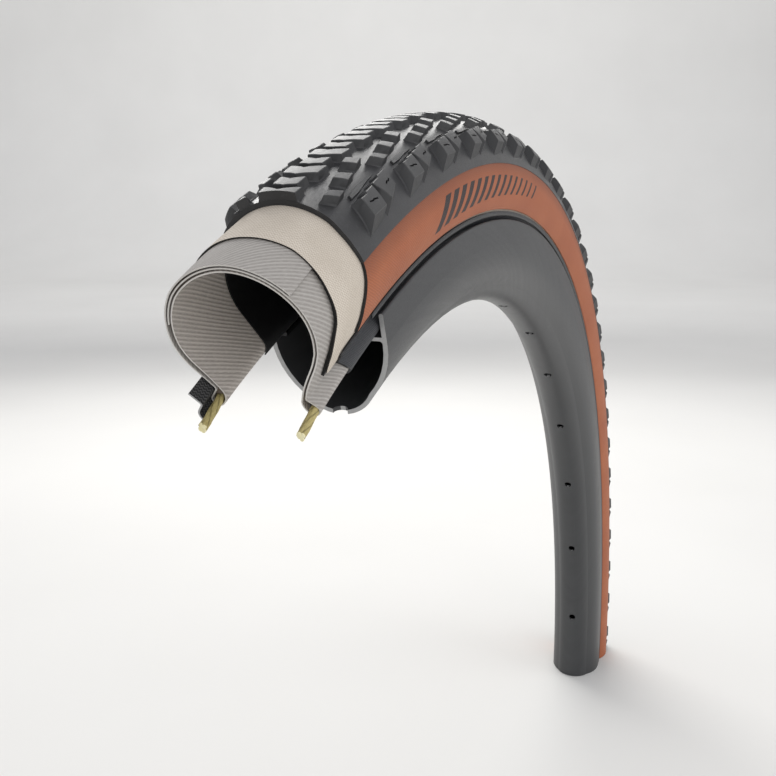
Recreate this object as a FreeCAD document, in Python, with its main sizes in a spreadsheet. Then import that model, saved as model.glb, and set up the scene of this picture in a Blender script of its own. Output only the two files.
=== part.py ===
import FreeCAD, Part
import os
import math
import Sketcher
from FreeCAD import Vector

# Cutaway sector of a 40-622 gravel bicycle tyre on its rim. Millimetres.
# Frame: origin on the wheel axis, wheel axis along Y, wheel plane XZ, +Z up.
# A sketch point (x, y) is (radius from the axle, distance from the wheel's mid plane).
# Every sector starts at the flat lower end (the plane z = 0 on the +X side) and
# sweeps up and over the top to its own stepped cut end.

doc = FreeCAD.newDocument("tyre_sector")

# ---------------------------------------------------------------- dimensions
sheet = doc.addObject("Spreadsheet::Sheet", "params")
DIMS = [
    # tyre section: concentric layers around the carcass centre
    ("carcass_centre", 330.30), ("liner_inner", 14.65), ("liner_outer", 15.00),
    ("ply_inner_run", 15.325), ("ply_middle_run", 16.075), ("ply_outer_run", 16.775),
    ("ply_thickness", 0.45), ("breaker_inner", 17.05), ("breaker_outer", 17.40),
    ("cover_inner", 17.45), ("sidewall_outer", 18.15),
    ("tread_centre", 330.84), ("tread_outer", 18.16), ("wing_angle", 15.3),
    # bead
    ("core_radius_pos", 313.30), ("core_side_pos", 11.55), ("core_radius", 1.10),
    ("wrap_radius", 1.42), ("toe_radius", 3.00), ("toe_angle", 212.0), ("lift_angle", 52.0),
    ("valley_radius", 0.90), ("chafer_thickness", 0.50), ("chafer_wrap", 1.95),
    # rim
    ("flange_top", 317.00), ("flange_inner", 14.20), ("flange_outer", 15.30),
    ("shelf_top", 310.70), ("shelf_under", 309.70), ("shelf_edge", 10.80),
    ("spoke_bed_inner", 288.00), ("rim_wall", 1.20), ("well_radius", 306.20),
    ("well_half", 6.40), ("bed_thickness", 1.00), ("tape_thickness", 0.30),
    ("spoke_hole_radius", 2.00), ("spoke_pitch", 11.25), ("spoke_first", -20.30),
    ("spoke_count", 10),
    # cut ends, as swept angles from the lower end
    ("sweep_rim", 110.30), ("sweep_bed", 102.00), ("sweep_tread", 112.20),
    ("sweep_strip", 113.10), ("sweep_chafer_near", 114.20), ("sweep_breaker", 114.80),
    ("sweep_casing", 116.50), ("sweep_chafer_far", 117.30), ("sweep_core", 118.00),
    ("sweep_liner", 112.80), ("sweep_filler", 115.90),
    # tread blocks
    ("centre_top", 20.70), ("transition_top", 20.70), ("shoulder_top", 20.95),
    ("ledge_top", 19.12),
    ("bar_pitch", 2.25), ("side_pitch", 4.50), ("far_shift", 2.05),
]
for i, (name, value) in enumerate(DIMS, start=1):
    sheet.set("A%d" % i, name)
    sheet.set("B%d" % i, str(value))
    sheet.setAlias("B%d" % i, name)
doc.recompute()
P = {name: float(value) for name, value in DIMS}
R0 = P["carcass_centre"]


# ---------------------------------------------------------------- helpers
def rad(a):
    return math.radians(a)


def circ_pt(rho, phi, c=None):
    """Section point at angle phi (degrees) from the crown, + to the far side."""
    c = R0 if c is None else c
    return Vector(c + rho * math.cos(rad(phi)), rho * math.sin(rad(phi)), 0)


def line(a, b):
    return Part.LineSegment(a, b).toShape()


def arc3(a, m, b):
    return Part.Arc(a, m, b).toShape()


def arc_c(c, r, a0, a1):
    """Arc about point c from angle a0 to a1 (degrees)."""
    am = 0.5 * (a0 + a1)
    q = [Vector(c.x + r * math.cos(rad(a)), c.y + r * math.sin(rad(a)), 0) for a in (a0, am, a1)]
    return arc3(q[0], q[1], q[2]), q[0], q[2]


def ang(c, p):
    return math.degrees(math.atan2(p.y - c.y, p.x - c.x))


def origin_item(body, role):
    for item in body.Origin.OriginFeatures:
        if item.Role == role:
            return item
    raise RuntimeError("no " + role)


def new_sketch(body, name):
    sk = body.newObject("Sketcher::SketchObject", name)
    sk.AttachmentSupport = [(origin_item(body, "XY_Plane"), "")]
    sk.MapMode = "FlatFace"
    return sk


def draw(sk, edges, closed=True):
    """Put a chain of edges in the sketch, joined end to end."""
    ids = []
    for e in edges:
        crv = e.Curve
        a, b = e.Vertexes[0].Point, e.Vertexes[-1].Point
        if isinstance(crv, Part.Line) or e.Curve.TypeId == "Part::GeomLine":
            ids.append(sk.addGeometry(Part.LineSegment(a, b), False))
        else:
            m = e.valueAt(0.5 * (e.FirstParameter + e.LastParameter))
            c = crv.Center
            ta, tm, tb = (math.atan2(q.y - c.y, q.x - c.x) for q in (a, m, b))
            if (tm - ta) % (2 * math.pi) > (tb - ta) % (2 * math.pi):
                ta, tb = tb, ta
            if tb < ta:
                tb += 2 * math.pi
            circ = Part.Circle(Vector(c.x, c.y, 0), Vector(0, 0, 1), crv.Radius)
            ids.append(sk.addGeometry(Part.ArcOfCircle(circ, ta, tb), False))
    ends = []
    for i in ids:
        g = sk.Geometry[i]
        ends.append((g.StartPoint, g.EndPoint))
    n = len(ids)
    for k in range(n):
        j = (k + 1) % n
        if j == 0 and not closed:
            break
        best = min(((ends[k][s - 1].distanceToPoint(ends[j][q - 1]), s, q) for s in (1, 2) for q in (1, 2)))
        sk.addConstraint(Sketcher.Constraint("Coincident", ids[k], best[1], ids[j], best[2]))
    return ids


def bind_radius(sk, gid, expr, name):
    c = sk.addConstraint(Sketcher.Constraint("Radius", gid, sk.Geometry[gid].Radius))
    sk.renameConstraint(c, name)
    sk.setExpression("Constraints." + name, expr)


def bind_centre(sk, gid, expr, name):
    c = sk.addConstraint(Sketcher.Constraint("DistanceX", -1, 1, gid, 3, sk.Geometry[gid].Center.x))
    sk.renameConstraint(c, name)
    sk.setExpression("Constraints." + name, expr)
    sk.addConstraint(Sketcher.Constraint("PointOnObject", gid, 3, -1))


def bind_x(sk, gid, pos, expr, name):
    g = sk.Geometry[gid]
    p = g.StartPoint if pos == 1 else g.EndPoint
    c = sk.addConstraint(Sketcher.Constraint("DistanceX", -1, 1, gid, pos, p.x))
    sk.renameConstraint(c, name)
    sk.setExpression("Constraints." + name, expr)


def sweep(body, sk, name, alias):
    rv = body.newObject("PartDesign::Revolution", name)
    rv.Profile = (sk, [""])
    rv.ReferenceAxis = (sk, ["V_Axis"])
    rv.Angle = P[alias]
    rv.setExpression("Angle", "params." + alias)
    rv.Reversed = True
    sk.Visibility = False
    return rv


def body_of(label):
    b = doc.addObject("PartDesign::Body", label)
    b.Label = label
    return b


def simple_body(label, edges, alias, binds=()):
    b = body_of(label)
    sk = new_sketch(b, "Profile_" + label)
    ids = draw(sk, edges)
    for kind, k, expr in binds:
        if kind == "radius":
            bind_radius(sk, ids[k], expr, "rad%d" % k)
        elif kind == "centre":
            bind_centre(sk, ids[k], expr, "cen%d" % k)
    doc.recompute()
    sweep(b, sk, "Sweep_" + label, alias)
    doc.recompute()
    return b


def strip(path, thickness):
    """Closed outline of a thin sheet of even thickness along a chain of arcs and lines."""
    h = thickness / 2.0
    segs = []
    for e in path:
        a, b = e.Vertexes[0].Point, e.Vertexes[-1].Point
        if e.Curve.TypeId == "Part::GeomLine":
            segs.append(["L", a, b, None])
        else:
            m = e.valueAt(0.5 * (e.FirstParameter + e.LastParameter))
            segs.append(["A", a, b, m, e.Curve.Center])
    # put every piece in travel order
    def near(p, q):
        return p.distanceToPoint(q) < 1e-5
    for k, sg in enumerate(segs):
        if k == 0:
            nxt = segs[1]
            if near(sg[1], nxt[1]) or near(sg[1], nxt[2]):
                sg[1], sg[2] = sg[2], sg[1]
        elif not near(segs[k - 1][2], sg[1]):
            sg[1], sg[2] = sg[2], sg[1]

    def side(sign):
        out = []
        for sg in segs:
            a, b, m = sg[1], sg[2], sg[3]
            if sg[0] == "L":
                d = (b - a)
                n = Vector(-d.y, d.x, 0)
                n.normalize()
                out.append(["L", a + n * (h * sign), b + n * (h * sign), None])
            else:
                c = sg[4]
                turn = (a.x - c.x) * (m.y - c.y) - (a.y - c.y) * (m.x - c.x)
                grow_by = -sign * h if turn > 0 else sign * h
                q = []
                for p in (a, b, m):
                    v = p - c
                    r = v.Length
                    q.append(c + v * ((r + grow_by) / r))
                out.append(["A", q[0], q[1], q[2]])
        for k, sg in enumerate(out):
            if sg[0] == "L":
                if k > 0:
                    sg[1] = out[k - 1][2]
                if k < len(out) - 1:
                    sg[2] = out[k + 1][1]
        return out

    left, right = side(1), side(-1)
    edges = [line(q[1], q[2]) if q[0] == "L" else arc3(q[1], q[3], q[2]) for q in left]
    edges.append(line(left[-1][2], right[-1][2]))
    for q in reversed(right):
        edges.append(line(q[2], q[1]) if q[0] == "L" else arc3(q[2], q[3], q[1]))
    edges.append(line(right[0][1], left[0][1]))
    return edges


def sector_face(edges):
    return Part.Face(Part.Wire(Part.sortEdges(edges)[0]))


def revolve_sector(face, sweep_deg):
    return face.revolve(Vector(0, 0, 0), Vector(0, -1, 0), sweep_deg)


def cs(a):
    return Vector(math.cos(rad(a)), math.sin(rad(a)), 0)


# The bead, drawn for the far side (positive y) and mirrored for the near one. The ply comes
# down a straight flank, round the toe, under the core, up outside it, over its top into a
# shallow valley and back up the flank.
W_C = Vector(P["core_radius_pos"], P["core_side_pos"], 0)
TOE_C = W_C + cs(P["toe_angle"]) * (P["wrap_radius"] - P["toe_radius"])
_d = TOE_C - Vector(R0, 0, 0)
PHI_T = math.degrees(math.atan2(_d.y, _d.x)) - math.degrees(math.acos((P["ply_inner_run"] + P["toe_radius"]) / _d.Length))
OUTW = cs(PHI_T)                      # outward across the flank
DOWN = cs(PHI_T + 90.0)               # down the flank towards the bead
LIFT = W_C + cs(P["lift_angle"]) * P["wrap_radius"]
UP_L = cs(P["lift_angle"] - 90.0)     # from the core up into the valley
_b = Vector(R0, 0, 0) + OUTW * P["ply_middle_run"]
_k = ((_b.x - LIFT.x) * (-DOWN.y) + (_b.y - LIFT.y) * DOWN.x) / (UP_L.x * (-DOWN.y) + UP_L.y * DOWN.x)
VALLEY = LIFT + UP_L * _k


def mir(p, s):
    return Vector(p.x, s * p.y, 0)


def fillet(a, v, b, r):
    """Line a-v and line v-b joined by an arc: the two tangent points and the arc's middle."""
    ua, ub = (a - v), (b - v)
    ua.normalize()
    ub.normalize()
    half = 0.5 * math.acos(max(-1.0, min(1.0, ua.dot(ub))))
    t = r / math.tan(half)
    bis = ua + ub
    bis.normalize()
    c = v + bis * (r / math.sin(half))
    return v + ua * t, c - bis * r, v + ub * t


def tangent_phi(p, rho):
    """Angle at which a line from p leaves the circle of that radius on its crown side."""
    d = p - Vector(R0, 0, 0)
    return math.degrees(math.atan2(d.y, d.x)) - math.degrees(math.acos(rho / d.Length))


# ---------------------------------------------------------------- rim
def rim_outline():
    o = P["flange_outer"]
    i = P["flange_inner"]
    t = P["flange_top"]
    bed = P["spoke_bed_inner"]
    w = P["rim_wall"]
    pts = []
    near, far = [], []
    e = []

    def V(x, y):
        return Vector(x, y, 0)
    # outer skin, near flange to far flange
    a0, a1, a2 = V(t - 0.5, -o), V(308.8, -15.4), V(293.9, -9.55)
    a3 = V(293.9, 9.55)
    a4, a5 = V(308.8, 15.4), V(t - 0.5, o)
    e.append(line(a0, a1))
    e.append(arc3(a1, V(300.6, -13.85), a2))
    e.append(arc3(a2, V(bed, 0), a3))
    e.append(arc3(a3, V(300.6, 13.85), a4))
    e.append(line(a4, a5))
    # far flange lip
    b0 = V(t - 0.5, i)
    e.append(arc3(a5, V(t, 0.5 * (i + o)), b0))
    # far shelf
    b1 = V(P["shelf_top"], i)
    b2 = V(P["shelf_top"], P["shelf_edge"])
    b3 = V(P["shelf_under"], P["shelf_edge"])
    b4 = V(P["shelf_under"], 13.2)
    b5 = V(308.8, 15.4 - w)
    e += [line(b0, b1), line(b1, b2), line(b2, b3), line(b3, b4),
          arc3(b4, V(309.45, 13.95), b5)]
    c0 = V(294.75, 8.75)
    e.append(arc3(b5, V(301.05, 12.72), c0))
    e.append(arc3(c0, V(bed + w, 0), V(294.75, -8.75)))
    e.append(arc3(V(294.75, -8.75), V(301.05, -12.72), V(308.8, -(15.4 - w))))
    e.append(arc3(V(308.8, -(15.4 - w)), V(309.45, -13.95), V(P["shelf_under"], -13.2)))
    e += [line(V(P["shelf_under"], -13.2), V(P["shelf_under"], -P["shelf_edge"])),
          line(V(P["shelf_under"], -P["shelf_edge"]), V(P["shelf_top"], -P["shelf_edge"])),
          line(V(P["shelf_top"], -P["shelf_edge"]), V(P["shelf_top"], -i)),
          line(V(P["shelf_top"], -i), V(t - 0.5, -i)),
          arc3(V(t - 0.5, -i), V(t, -0.5 * (i + o)), a0)]
    return e


rim = body_of("rim")
sk = new_sketch(rim, "Profile_rim")
rim_ids = draw(sk, rim_outline())
bind_x(sk, rim_ids[6], 2, "params.shelf_top", "shelf_level")
doc.recompute()
sweep(rim, sk, "Sweep_rim", "sweep_rim")
doc.recompute()
# the bed with its centre well, set back from the cut end
EDGE = P["shelf_edge"] - 0.0
ST, SU, WR, WH, BT = P["shelf_top"], P["shelf_under"], P["well_radius"], P["well_half"], P["bed_thickness"]
bed_pts = [Vector(ST, -EDGE, 0), Vector(WR, -WH, 0), Vector(WR, WH, 0), Vector(ST, EDGE, 0),
           Vector(SU, EDGE, 0), Vector(SU - 0.0, EDGE - 0.05, 0), Vector(WR - BT, WH - 0.45, 0),
           Vector(WR - BT, -WH + 0.45, 0), Vector(SU - 0.0, -EDGE + 0.05, 0), Vector(SU, -EDGE, 0)]
sk2 = new_sketch(rim, "Profile_bed")
draw(sk2, [line(bed_pts[k], bed_pts[(k + 1) % len(bed_pts)]) for k in range(len(bed_pts))])
doc.recompute()
sweep(rim, sk2, "Sweep_bed", "sweep_bed")
doc.recompute()
# spoke holes through the inner wall
sk3 = rim.newObject("Sketcher::SketchObject", "Spoke_hole_circle")
sk3.AttachmentSupport = [(origin_item(rim, "XY_Plane"), "")]
sk3.MapMode = "FlatFace"
sk3.AttachmentOffset = FreeCAD.Placement(Vector(0, 0, 0), FreeCAD.Rotation(Vector(0, 1, 0), P["spoke_first"]))
sk3.setExpression("AttachmentOffset.Rotation.Angle", "params.spoke_first")
hc = sk3.addGeometry(Part.Circle(Vector(0, 0, 0), Vector(0, 0, 1), P["spoke_hole_radius"]), False)
sk3.addConstraint(Sketcher.Constraint("Coincident", hc, 3, -1, 1))
cr = sk3.addConstraint(Sketcher.Constraint("Radius", hc, P["spoke_hole_radius"]))
sk3.renameConstraint(cr, "hole_radius")
sk3.setExpression("Constraints.hole_radius", "params.spoke_hole_radius")
doc.recompute()
vol_before = rim.Shape.Volume
pk = rim.newObject("PartDesign::Pocket", "Spoke_hole")
pk.Profile = (sk3, [""])
pk.Type = 0
pk.Length = 297.0
pk.Reversed = True
sk3.Visibility = False
doc.recompute()
if not rim.Shape.Volume < vol_before - 1.0:
    pk.Reversed = False
    doc.recompute()
pp = rim.newObject("PartDesign::PolarPattern", "Spoke_holes")
pp.Originals = [pk]
pp.Axis = (origin_item(rim, "Y_Axis"), [""])
pp.Angle = P["spoke_pitch"] * (P["spoke_count"] - 1)
pp.setExpression("Angle", "params.spoke_pitch * (params.spoke_count - 1)")
pp.Occurrences = int(P["spoke_count"])
pp.setExpression("Occurrences", "params.spoke_count")
pp.Reversed = False
rim.Tip = pp
doc.recompute()

# ---------------------------------------------------------------- rim tape
tt = P["tape_thickness"]
tz = 0.03
tp = [Vector(ST + tz, -13.9, 0), Vector(ST + tz, -EDGE + 0.02, 0), Vector(WR + tz, -WH + 0.05, 0),
      Vector(WR + tz, WH - 0.05, 0), Vector(ST + tz, EDGE - 0.02, 0), Vector(ST + tz, 13.9, 0),
      Vector(ST + tz + tt, 13.9, 0), Vector(ST + tz + tt, EDGE - 0.12, 0), Vector(WR + tz + tt, WH - 0.28, 0),
      Vector(WR + tz + tt, -WH + 0.28, 0), Vector(ST + tz + tt, -EDGE + 0.12, 0), Vector(ST + tz + tt, -13.9, 0)]
simple_body("rim_tape", [line(tp[k], tp[(k + 1) % len(tp)]) for k in range(len(tp))], "sweep_bed")

# ---------------------------------------------------------------- inner liner
def liner_edges():
    li, lo = P["liner_inner"], P["liner_outer"]
    A = P["ply_inner_run"]
    half = []
    for rho in (lo, li):
        rt = P["toe_radius"] + A - rho
        a = Vector(R0, 0, 0) + OUTW * rho
        b = TOE_C - OUTW * rt
        m = TOE_C + cs(0.5 * (PHI_T + 180.0 + 246.0)) * rt
        e = TOE_C + cs(246.0) * rt
        half.append((a, b, m, e))
    (oa, ob, om, oe), (ia, ib, im, ie) = half
    return [arc3(mir(oa, -1), Vector(R0 + lo, 0, 0), oa), line(oa, ob), arc3(ob, om, oe), line(oe, ie),
            arc3(ie, im, ib), line(ib, ia), arc3(ia, Vector(R0 + li, 0, 0), mir(ia, -1)),
            line(mir(ia, -1), mir(ib, -1)), arc3(mir(ib, -1), mir(im, -1), mir(ie, -1)), line(mir(ie, -1), mir(oe, -1)),
            arc3(mir(oe, -1), mir(om, -1), mir(ob, -1)), line(mir(ob, -1), mir(oa, -1))]


simple_body("inner_liner", liner_edges(), "sweep_liner",
            [("radius", 0, "params.liner_outer"), ("radius", 6, "params.liner_inner")])

# ---------------------------------------------------------------- casing ply
# One ply: from the far shoulder over the crown to the near bead, round the bead,
# over the crown inside to the far bead, round it, and back over the crown to the near shoulder.
def bead_turn(s, rho, slack):
    """Points of one bead, from the turn-up's circle to the inner run's circle."""
    v = VALLEY - UP_L * slack
    pt = tangent_phi(v, rho)
    top = Vector(R0, 0, 0) + cs(pt) * rho
    f0, fm, f1 = fillet(top, v, LIFT, P["valley_radius"])
    toe_in = TOE_C - OUTW * P["toe_radius"]
    toe_out = W_C + cs(P["toe_angle"]) * P["wrap_radius"]
    under = W_C + cs(0.5 * (P["toe_angle"] + P["lift_angle"])) * P["wrap_radius"]
    toe_mid = TOE_C + cs(0.5 * (PHI_T + 180.0 + P["toe_angle"])) * P["toe_radius"]
    inner = Vector(R0, 0, 0) + OUTW * P["ply_inner_run"]
    e = [line(top, f0), arc3(f0, fm, f1), line(f1, LIFT), arc3(LIFT, under, toe_out),
         arc3(toe_out, toe_mid, toe_in), line(toe_in, inner)]
    if s < 0:
        q = [top, f0, fm, f1, LIFT, under, toe_out, toe_mid, toe_in, inner]
        q = [mir(p, -1) for p in q]
        e = [line(q[0], q[1]), arc3(q[1], q[2], q[3]), line(q[3], q[4]), arc3(q[4], q[5], q[6]),
             arc3(q[6], q[7], q[8]), line(q[8], q[9])]
        return e, q[0], q[9]
    return e, top, inner


def casing_edges():
    th = P["ply_thickness"]
    A, B, Cc = P["ply_inner_run"], P["ply_middle_run"], P["ply_outer_run"]
    near, near_top, near_in = bead_turn(-1, B, 0.0)
    far, far_top, far_in = bead_turn(1, Cc, 0.12)
    e = [arc3(circ_pt(B, 81.0), circ_pt(B, 0.0), near_top)] + near
    e.append(arc3(near_in, Vector(R0 + A, 0, 0), far_in))
    e += far[::-1]
    e.append(arc3(far_top, circ_pt(Cc, 10.0), circ_pt(Cc, -50.5)))
    return strip(e, th)


cas = casing_edges()
cas_binds = []
for k, ed in enumerate(cas):
    c = ed.Curve
    if c.TypeId == "Part::GeomCircle" and abs(c.Center.x - R0) < 1e-4 and abs(c.Center.y) < 1e-4:
        for nm, base in (("ply_inner_run", P["ply_inner_run"]), ("ply_middle_run", P["ply_middle_run"]),
                         ("ply_outer_run", P["ply_outer_run"])):
            for sg, tx in ((1, "+"), (-1, "-")):
                if abs(c.Radius - (base + sg * P["ply_thickness"] / 2.0)) < 1e-4:
                    cas_binds.append(("radius", k, "params.%s %s params.ply_thickness / 2" % (nm, tx)))
simple_body("casing_ply", cas, "sweep_casing", cas_binds)

# ---------------------------------------------------------------- bead cores and fillers
for side, s in (("near", -1), ("far", 1)):
    b = body_of("bead_core_" + side)
    sk = new_sketch(b, "Profile_bead_core_" + side)
    g = sk.addGeometry(Part.Circle(Vector(P["core_radius_pos"], s * P["core_side_pos"], 0), Vector(0, 0, 1), P["core_radius"]), False)
    c = sk.addConstraint(Sketcher.Constraint("Radius", g, P["core_radius"]))
    sk.renameConstraint(c, "core_radius")
    sk.setExpression("Constraints.core_radius", "params.core_radius")
    c = sk.addConstraint(Sketcher.Constraint("DistanceX", -1, 1, g, 3, P["core_radius_pos"]))
    sk.renameConstraint(c, "core_pos")
    sk.setExpression("Constraints.core_pos", "params.core_radius_pos")
    if s > 0:
        c = sk.addConstraint(Sketcher.Constraint("DistanceY", -1, 1, g, 3, P["core_side_pos"]))
    else:
        c = sk.addConstraint(Sketcher.Constraint("DistanceY", g, 3, -1, 1, P["core_side_pos"]))
    sk.renameConstraint(c, "core_side")
    sk.setExpression("Constraints.core_side", "params.core_side_pos")
    doc.recompute()
    sweep(b, sk, "Sweep_bead_core_" + side, "sweep_core")
    doc.recompute()
    q = [VALLEY - OUTW * 0.375 + DOWN * 0.45, LIFT + UP_L * 1.15 - cs(P["lift_angle"]) * 0.29,
         W_C + cs(-20.0) * 1.22, TOE_C + cs(250.0) * (P["toe_radius"] - 0.28)]
    q = [mir(p, s) for p in q]
    simple_body("bead_filler_" + side, [line(q[k], q[(k + 1) % 4]) for k in range(4)], "sweep_filler")

# ---------------------------------------------------------------- breaker (puncture layer)
def breaker_edges():
    mid = 0.5 * (P["breaker_inner"] + P["breaker_outer"])
    th = P["breaker_outer"] - P["breaker_inner"]
    top = Vector(R0, 0, 0) + OUTW * mid
    low = top + DOWN * ((top.x - 318.7) / -DOWN.x)
    e = [line(mir(low, -1), mir(top, -1)), arc3(mir(top, -1), Vector(R0 + mid, 0, 0), top), line(top, low)]
    return strip(e, th)


brk = breaker_edges()
binds = []
for k, ed in enumerate(brk):
    c = ed.Curve
    if c.TypeId == "Part::GeomCircle":
        if abs(c.Radius - P["breaker_inner"]) < 1e-4:
            binds.append(("radius", k, "params.breaker_inner"))
        elif abs(c.Radius - P["breaker_outer"]) < 1e-4:
            binds.append(("radius", k, "params.breaker_outer"))
simple_body("breaker", brk, "sweep_breaker", binds)

# ---------------------------------------------------------------- chafers, rim strips, sidewalls
def chafer_edges(s):
    rc = P["chafer_wrap"]
    v = LIFT + UP_L * 2.0 + cs(P["lift_angle"]) * 0.60
    top = Vector(318.75, 14.03, 0)
    d = v - W_C
    ga = math.degrees(math.atan2(d.y, d.x)) + math.degrees(math.acos(rc / d.Length))
    g = W_C + cs(ga) * rc
    f0, fm, f1 = fillet(top, v, g, 1.60)
    end = 196.0 if s < 0 else 150.0
    # the thin cloth is drawn with short straight facets round its bends
    c = [top]
    c += [f0, fm, f1]
    n = 7
    c += [W_C + cs(ga + (end - ga) * k / n) * rc for k in range(n + 1)]
    th = 0.5 * P["chafer_thickness"]
    left, right = [], []
    for k in range(len(c)):
        a, b = c[max(0, k - 1)], c[min(len(c) - 1, k + 1)]
        d = b - a
        d.normalize()
        m = Vector(-d.y, d.x, 0)
        left.append(c[k] + m * th)
        right.append(c[k] - m * th)
    ring = [mir(p, s) for p in left + right[::-1]]
    return [line(ring[k], ring[(k + 1) % len(ring)]) for k in range(len(ring))]


def rim_strip_edges(s):
    q = [Vector(318.15, s * 14.16, 0), Vector(318.15, s * 14.7, 0), Vector(319.75, s * 15.0, 0), Vector(319.4, s * 14.48, 0)]
    return [line(q[0], q[1]), arc3(q[1], Vector(319.2, s * 15.12, 0), q[2]), line(q[2], q[3]), line(q[3], q[0])]


def sidewall_edges(s):
    ri, ro = P["cover_inner"], P["sidewall_outer"]
    top = 90.0 - P["wing_angle"] + 0.2
    o_t, i_t = Vector(R0, 0, 0) + OUTW * ro, Vector(R0, 0, 0) + OUTW * ri
    o_l = o_t + DOWN * ((o_t.x - 320.1) / -DOWN.x)
    i_l = i_t + DOWN * ((i_t.x - 320.4) / -DOWN.x)
    mid = 0.5 * (top + PHI_T)
    return [arc3(circ_pt(ro, s * top), circ_pt(ro, s * mid), mir(o_t, s)), line(mir(o_t, s), mir(o_l, s)),
            line(mir(o_l, s), mir(i_l, s)), line(mir(i_l, s), mir(i_t, s)),
            arc3(mir(i_t, s), circ_pt(ri, s * mid), circ_pt(ri, s * top)), line(circ_pt(ri, s * top), circ_pt(ro, s * top))]


for side, s in (("near", -1), ("far", 1)):
    simple_body("chafer_" + side, chafer_edges(s), "sweep_chafer_" + side)
    simple_body("rim_strip_" + side, rim_strip_edges(s), "sweep_strip")
    simple_body("sidewall_" + side, sidewall_edges(s), "sweep_tread",
                [("radius", 0, "params.sidewall_outer"), ("radius", 4, "params.cover_inner")])

# ---------------------------------------------------------------- tread base
wa = 90.0 - P["wing_angle"]
tc, to = P["tread_centre"], P["tread_outer"]


def tread_edge_pt(s):
    """Where the outer tread circle meets the wing's radial end line."""
    d = Vector(math.cos(rad(wa)), s * math.sin(rad(wa)), 0)
    k = R0 - tc
    bq = d.x * k
    t = -bq + math.sqrt(bq * bq - (k * k - to * to))
    return Vector(R0, 0, 0) + d * t


en, ef = tread_edge_pt(-1), tread_edge_pt(1)
ci = P["cover_inner"]
tb = [arc3(en, Vector(tc + to, 0, 0), ef), line(ef, circ_pt(ci, wa)),
      arc3(circ_pt(ci, wa), Vector(R0 + ci, 0, 0), circ_pt(ci, -wa)), line(circ_pt(ci, -wa), en)]
simple_body("tread_base", tb, "sweep_tread", [("radius", 0, "params.tread_outer"), ("radius", 2, "params.cover_inner")])

# ---------------------------------------------------------------- tread blocks
core_face = Part.Face(Part.Wire(Part.Circle(Vector(tc, 0, 0), Vector(0, 0, 1), to).toShape()))
core_local = core_face.revolve(Vector(0, 0, 0), Vector(0, 1, 0), 12.0)
core_local.rotate(Vector(0, 0, 0), Vector(0, 1, 0), -96.0)


def surf(theta, phi, rho):
    """World point: theta from +Z toward +X, phi from the crown (+ far side)."""
    r = R0 + rho * math.cos(rad(phi))
    y = rho * math.sin(rad(phi))
    return Vector(r * math.sin(rad(theta)), y, r * math.cos(rad(theta)))


def tri_face(a, b, c):
    return Part.Face(Part.makePolygon([a, b, c, a]))


def block(top, foot, rho_top):
    """Tapered block: top and foot are (theta, phi) outlines with equal counts."""
    n = len(top)
    T = [surf(t, p, rho_top) for t, p in top]
    B = [surf(t, p, 17.3) for t, p in foot]
    ct = sum(T, Vector()) * (1.0 / n)
    cb = sum(B, Vector()) * (1.0 / n)
    faces = []
    for k in range(n):
        j = (k + 1) % n
        faces.append(tri_face(ct, T[k], T[j]))
        faces.append(tri_face(cb, B[j], B[k]))
        faces.append(tri_face(T[k], B[k], B[j]))
        faces.append(tri_face(T[k], B[j], T[j]))
    sh = Part.makeShell(faces)
    so = Part.makeSolid(sh)
    if so.Volume < 0:
        so.reverse()
    cut = so.cut(core_local)
    best = max(cut.Solids, key=lambda q: q.Volume)
    return best


def grow(poly, dt, dp):
    ct = sum(q[0] for q in poly) / len(poly)
    cp = sum(q[1] for q in poly) / len(poly)
    out = []
    for t, p in poly:
        out.append((t + math.copysign(dt, t - ct), p + math.copysign(dp, p - cp)))
    return out


WIDE = [(-0.40, 12.2), (-0.74, 0.0), (-0.40, -12.2), (0.42, -12.8), (0.00, 0.0), (0.42, 12.8)]
WIDE_F = [(-0.50, 15.0), (-0.86, 0.0), (-0.50, -15.0), (0.46, -15.6), (0.05, 0.0), (0.46, 15.6)]
NARROW = [(-0.38, 8.3), (-0.54, 0.0), (-0.38, -8.3), (0.38, -8.6), (0.10, 0.0), (0.38, 8.6)]
NARROW_F = [(-0.42, 11.0), (-0.58, 0.0), (-0.42, -11.0), (0.50, -11.4), (0.22, 0.0), (0.50, 11.4)]
TRANS = [
    ([(-0.47, 26.8), (0.02, 26.5), (0.52, 33.8), (-0.02, 34.6)], 22.25 - 43.42),
    ([(-0.45, 22.2), (0.05, 21.2), (0.55, 29.1), (-0.10, 30.4)], 22.25 - 41.96),
    ([(-0.45, 17.2), (0.08, 16.0), (0.57, 23.9), (-0.08, 25.7)], 22.25 - 40.46),
]
SHOULDER_A = [(-20.52, 44.3), (-20.00, 44.4), (-19.93, 43.2), (-19.28, 42.8), (-19.45, 57.6), (-20.66, 57.0)]
SHOULDER_A_F = [(-20.72, 41.5), (-20.05, 41.5), (-19.95, 40.6), (-19.22, 40.2), (-19.35, 62.0), (-21.10, 67.5)]
SHOULDER_B = [(-19.10, 42.0), (-18.45, 41.6), (-18.38, 40.3), (-17.70, 39.9), (-17.77, 51.8), (-18.75, 57.0)]
SHOULDER_B_F = [(-19.14, 39.3), (-18.45, 38.9), (-18.35, 37.6), (-17.42, 37.2), (-17.50, 53.5), (-19.10, 64.0)]
# low ledge between the transition blocks and the shoulder lugs
LEDGE = [(-20.32, 36.5), (-19.80, 35.6), (-18.43, 35.6), (-18.00, 36.5), (-18.95, 37.9), (-19.62, 39.5), (-20.40, 39.7)]


def mirror(poly, s):
    return [(t, s * p) for t, p in poly]


FRONT = -(P["sweep_tread"] - 90.0)
front_keep = Part.makeBox(900, 200, 900, Vector(0, -100, -450))
front_keep.rotate(Vector(0, 0, 0), Vector(0, 1, 0), FRONT)
low_keep = Part.makeBox(900, 200, 900, Vector(-450, -100, 0))


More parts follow.
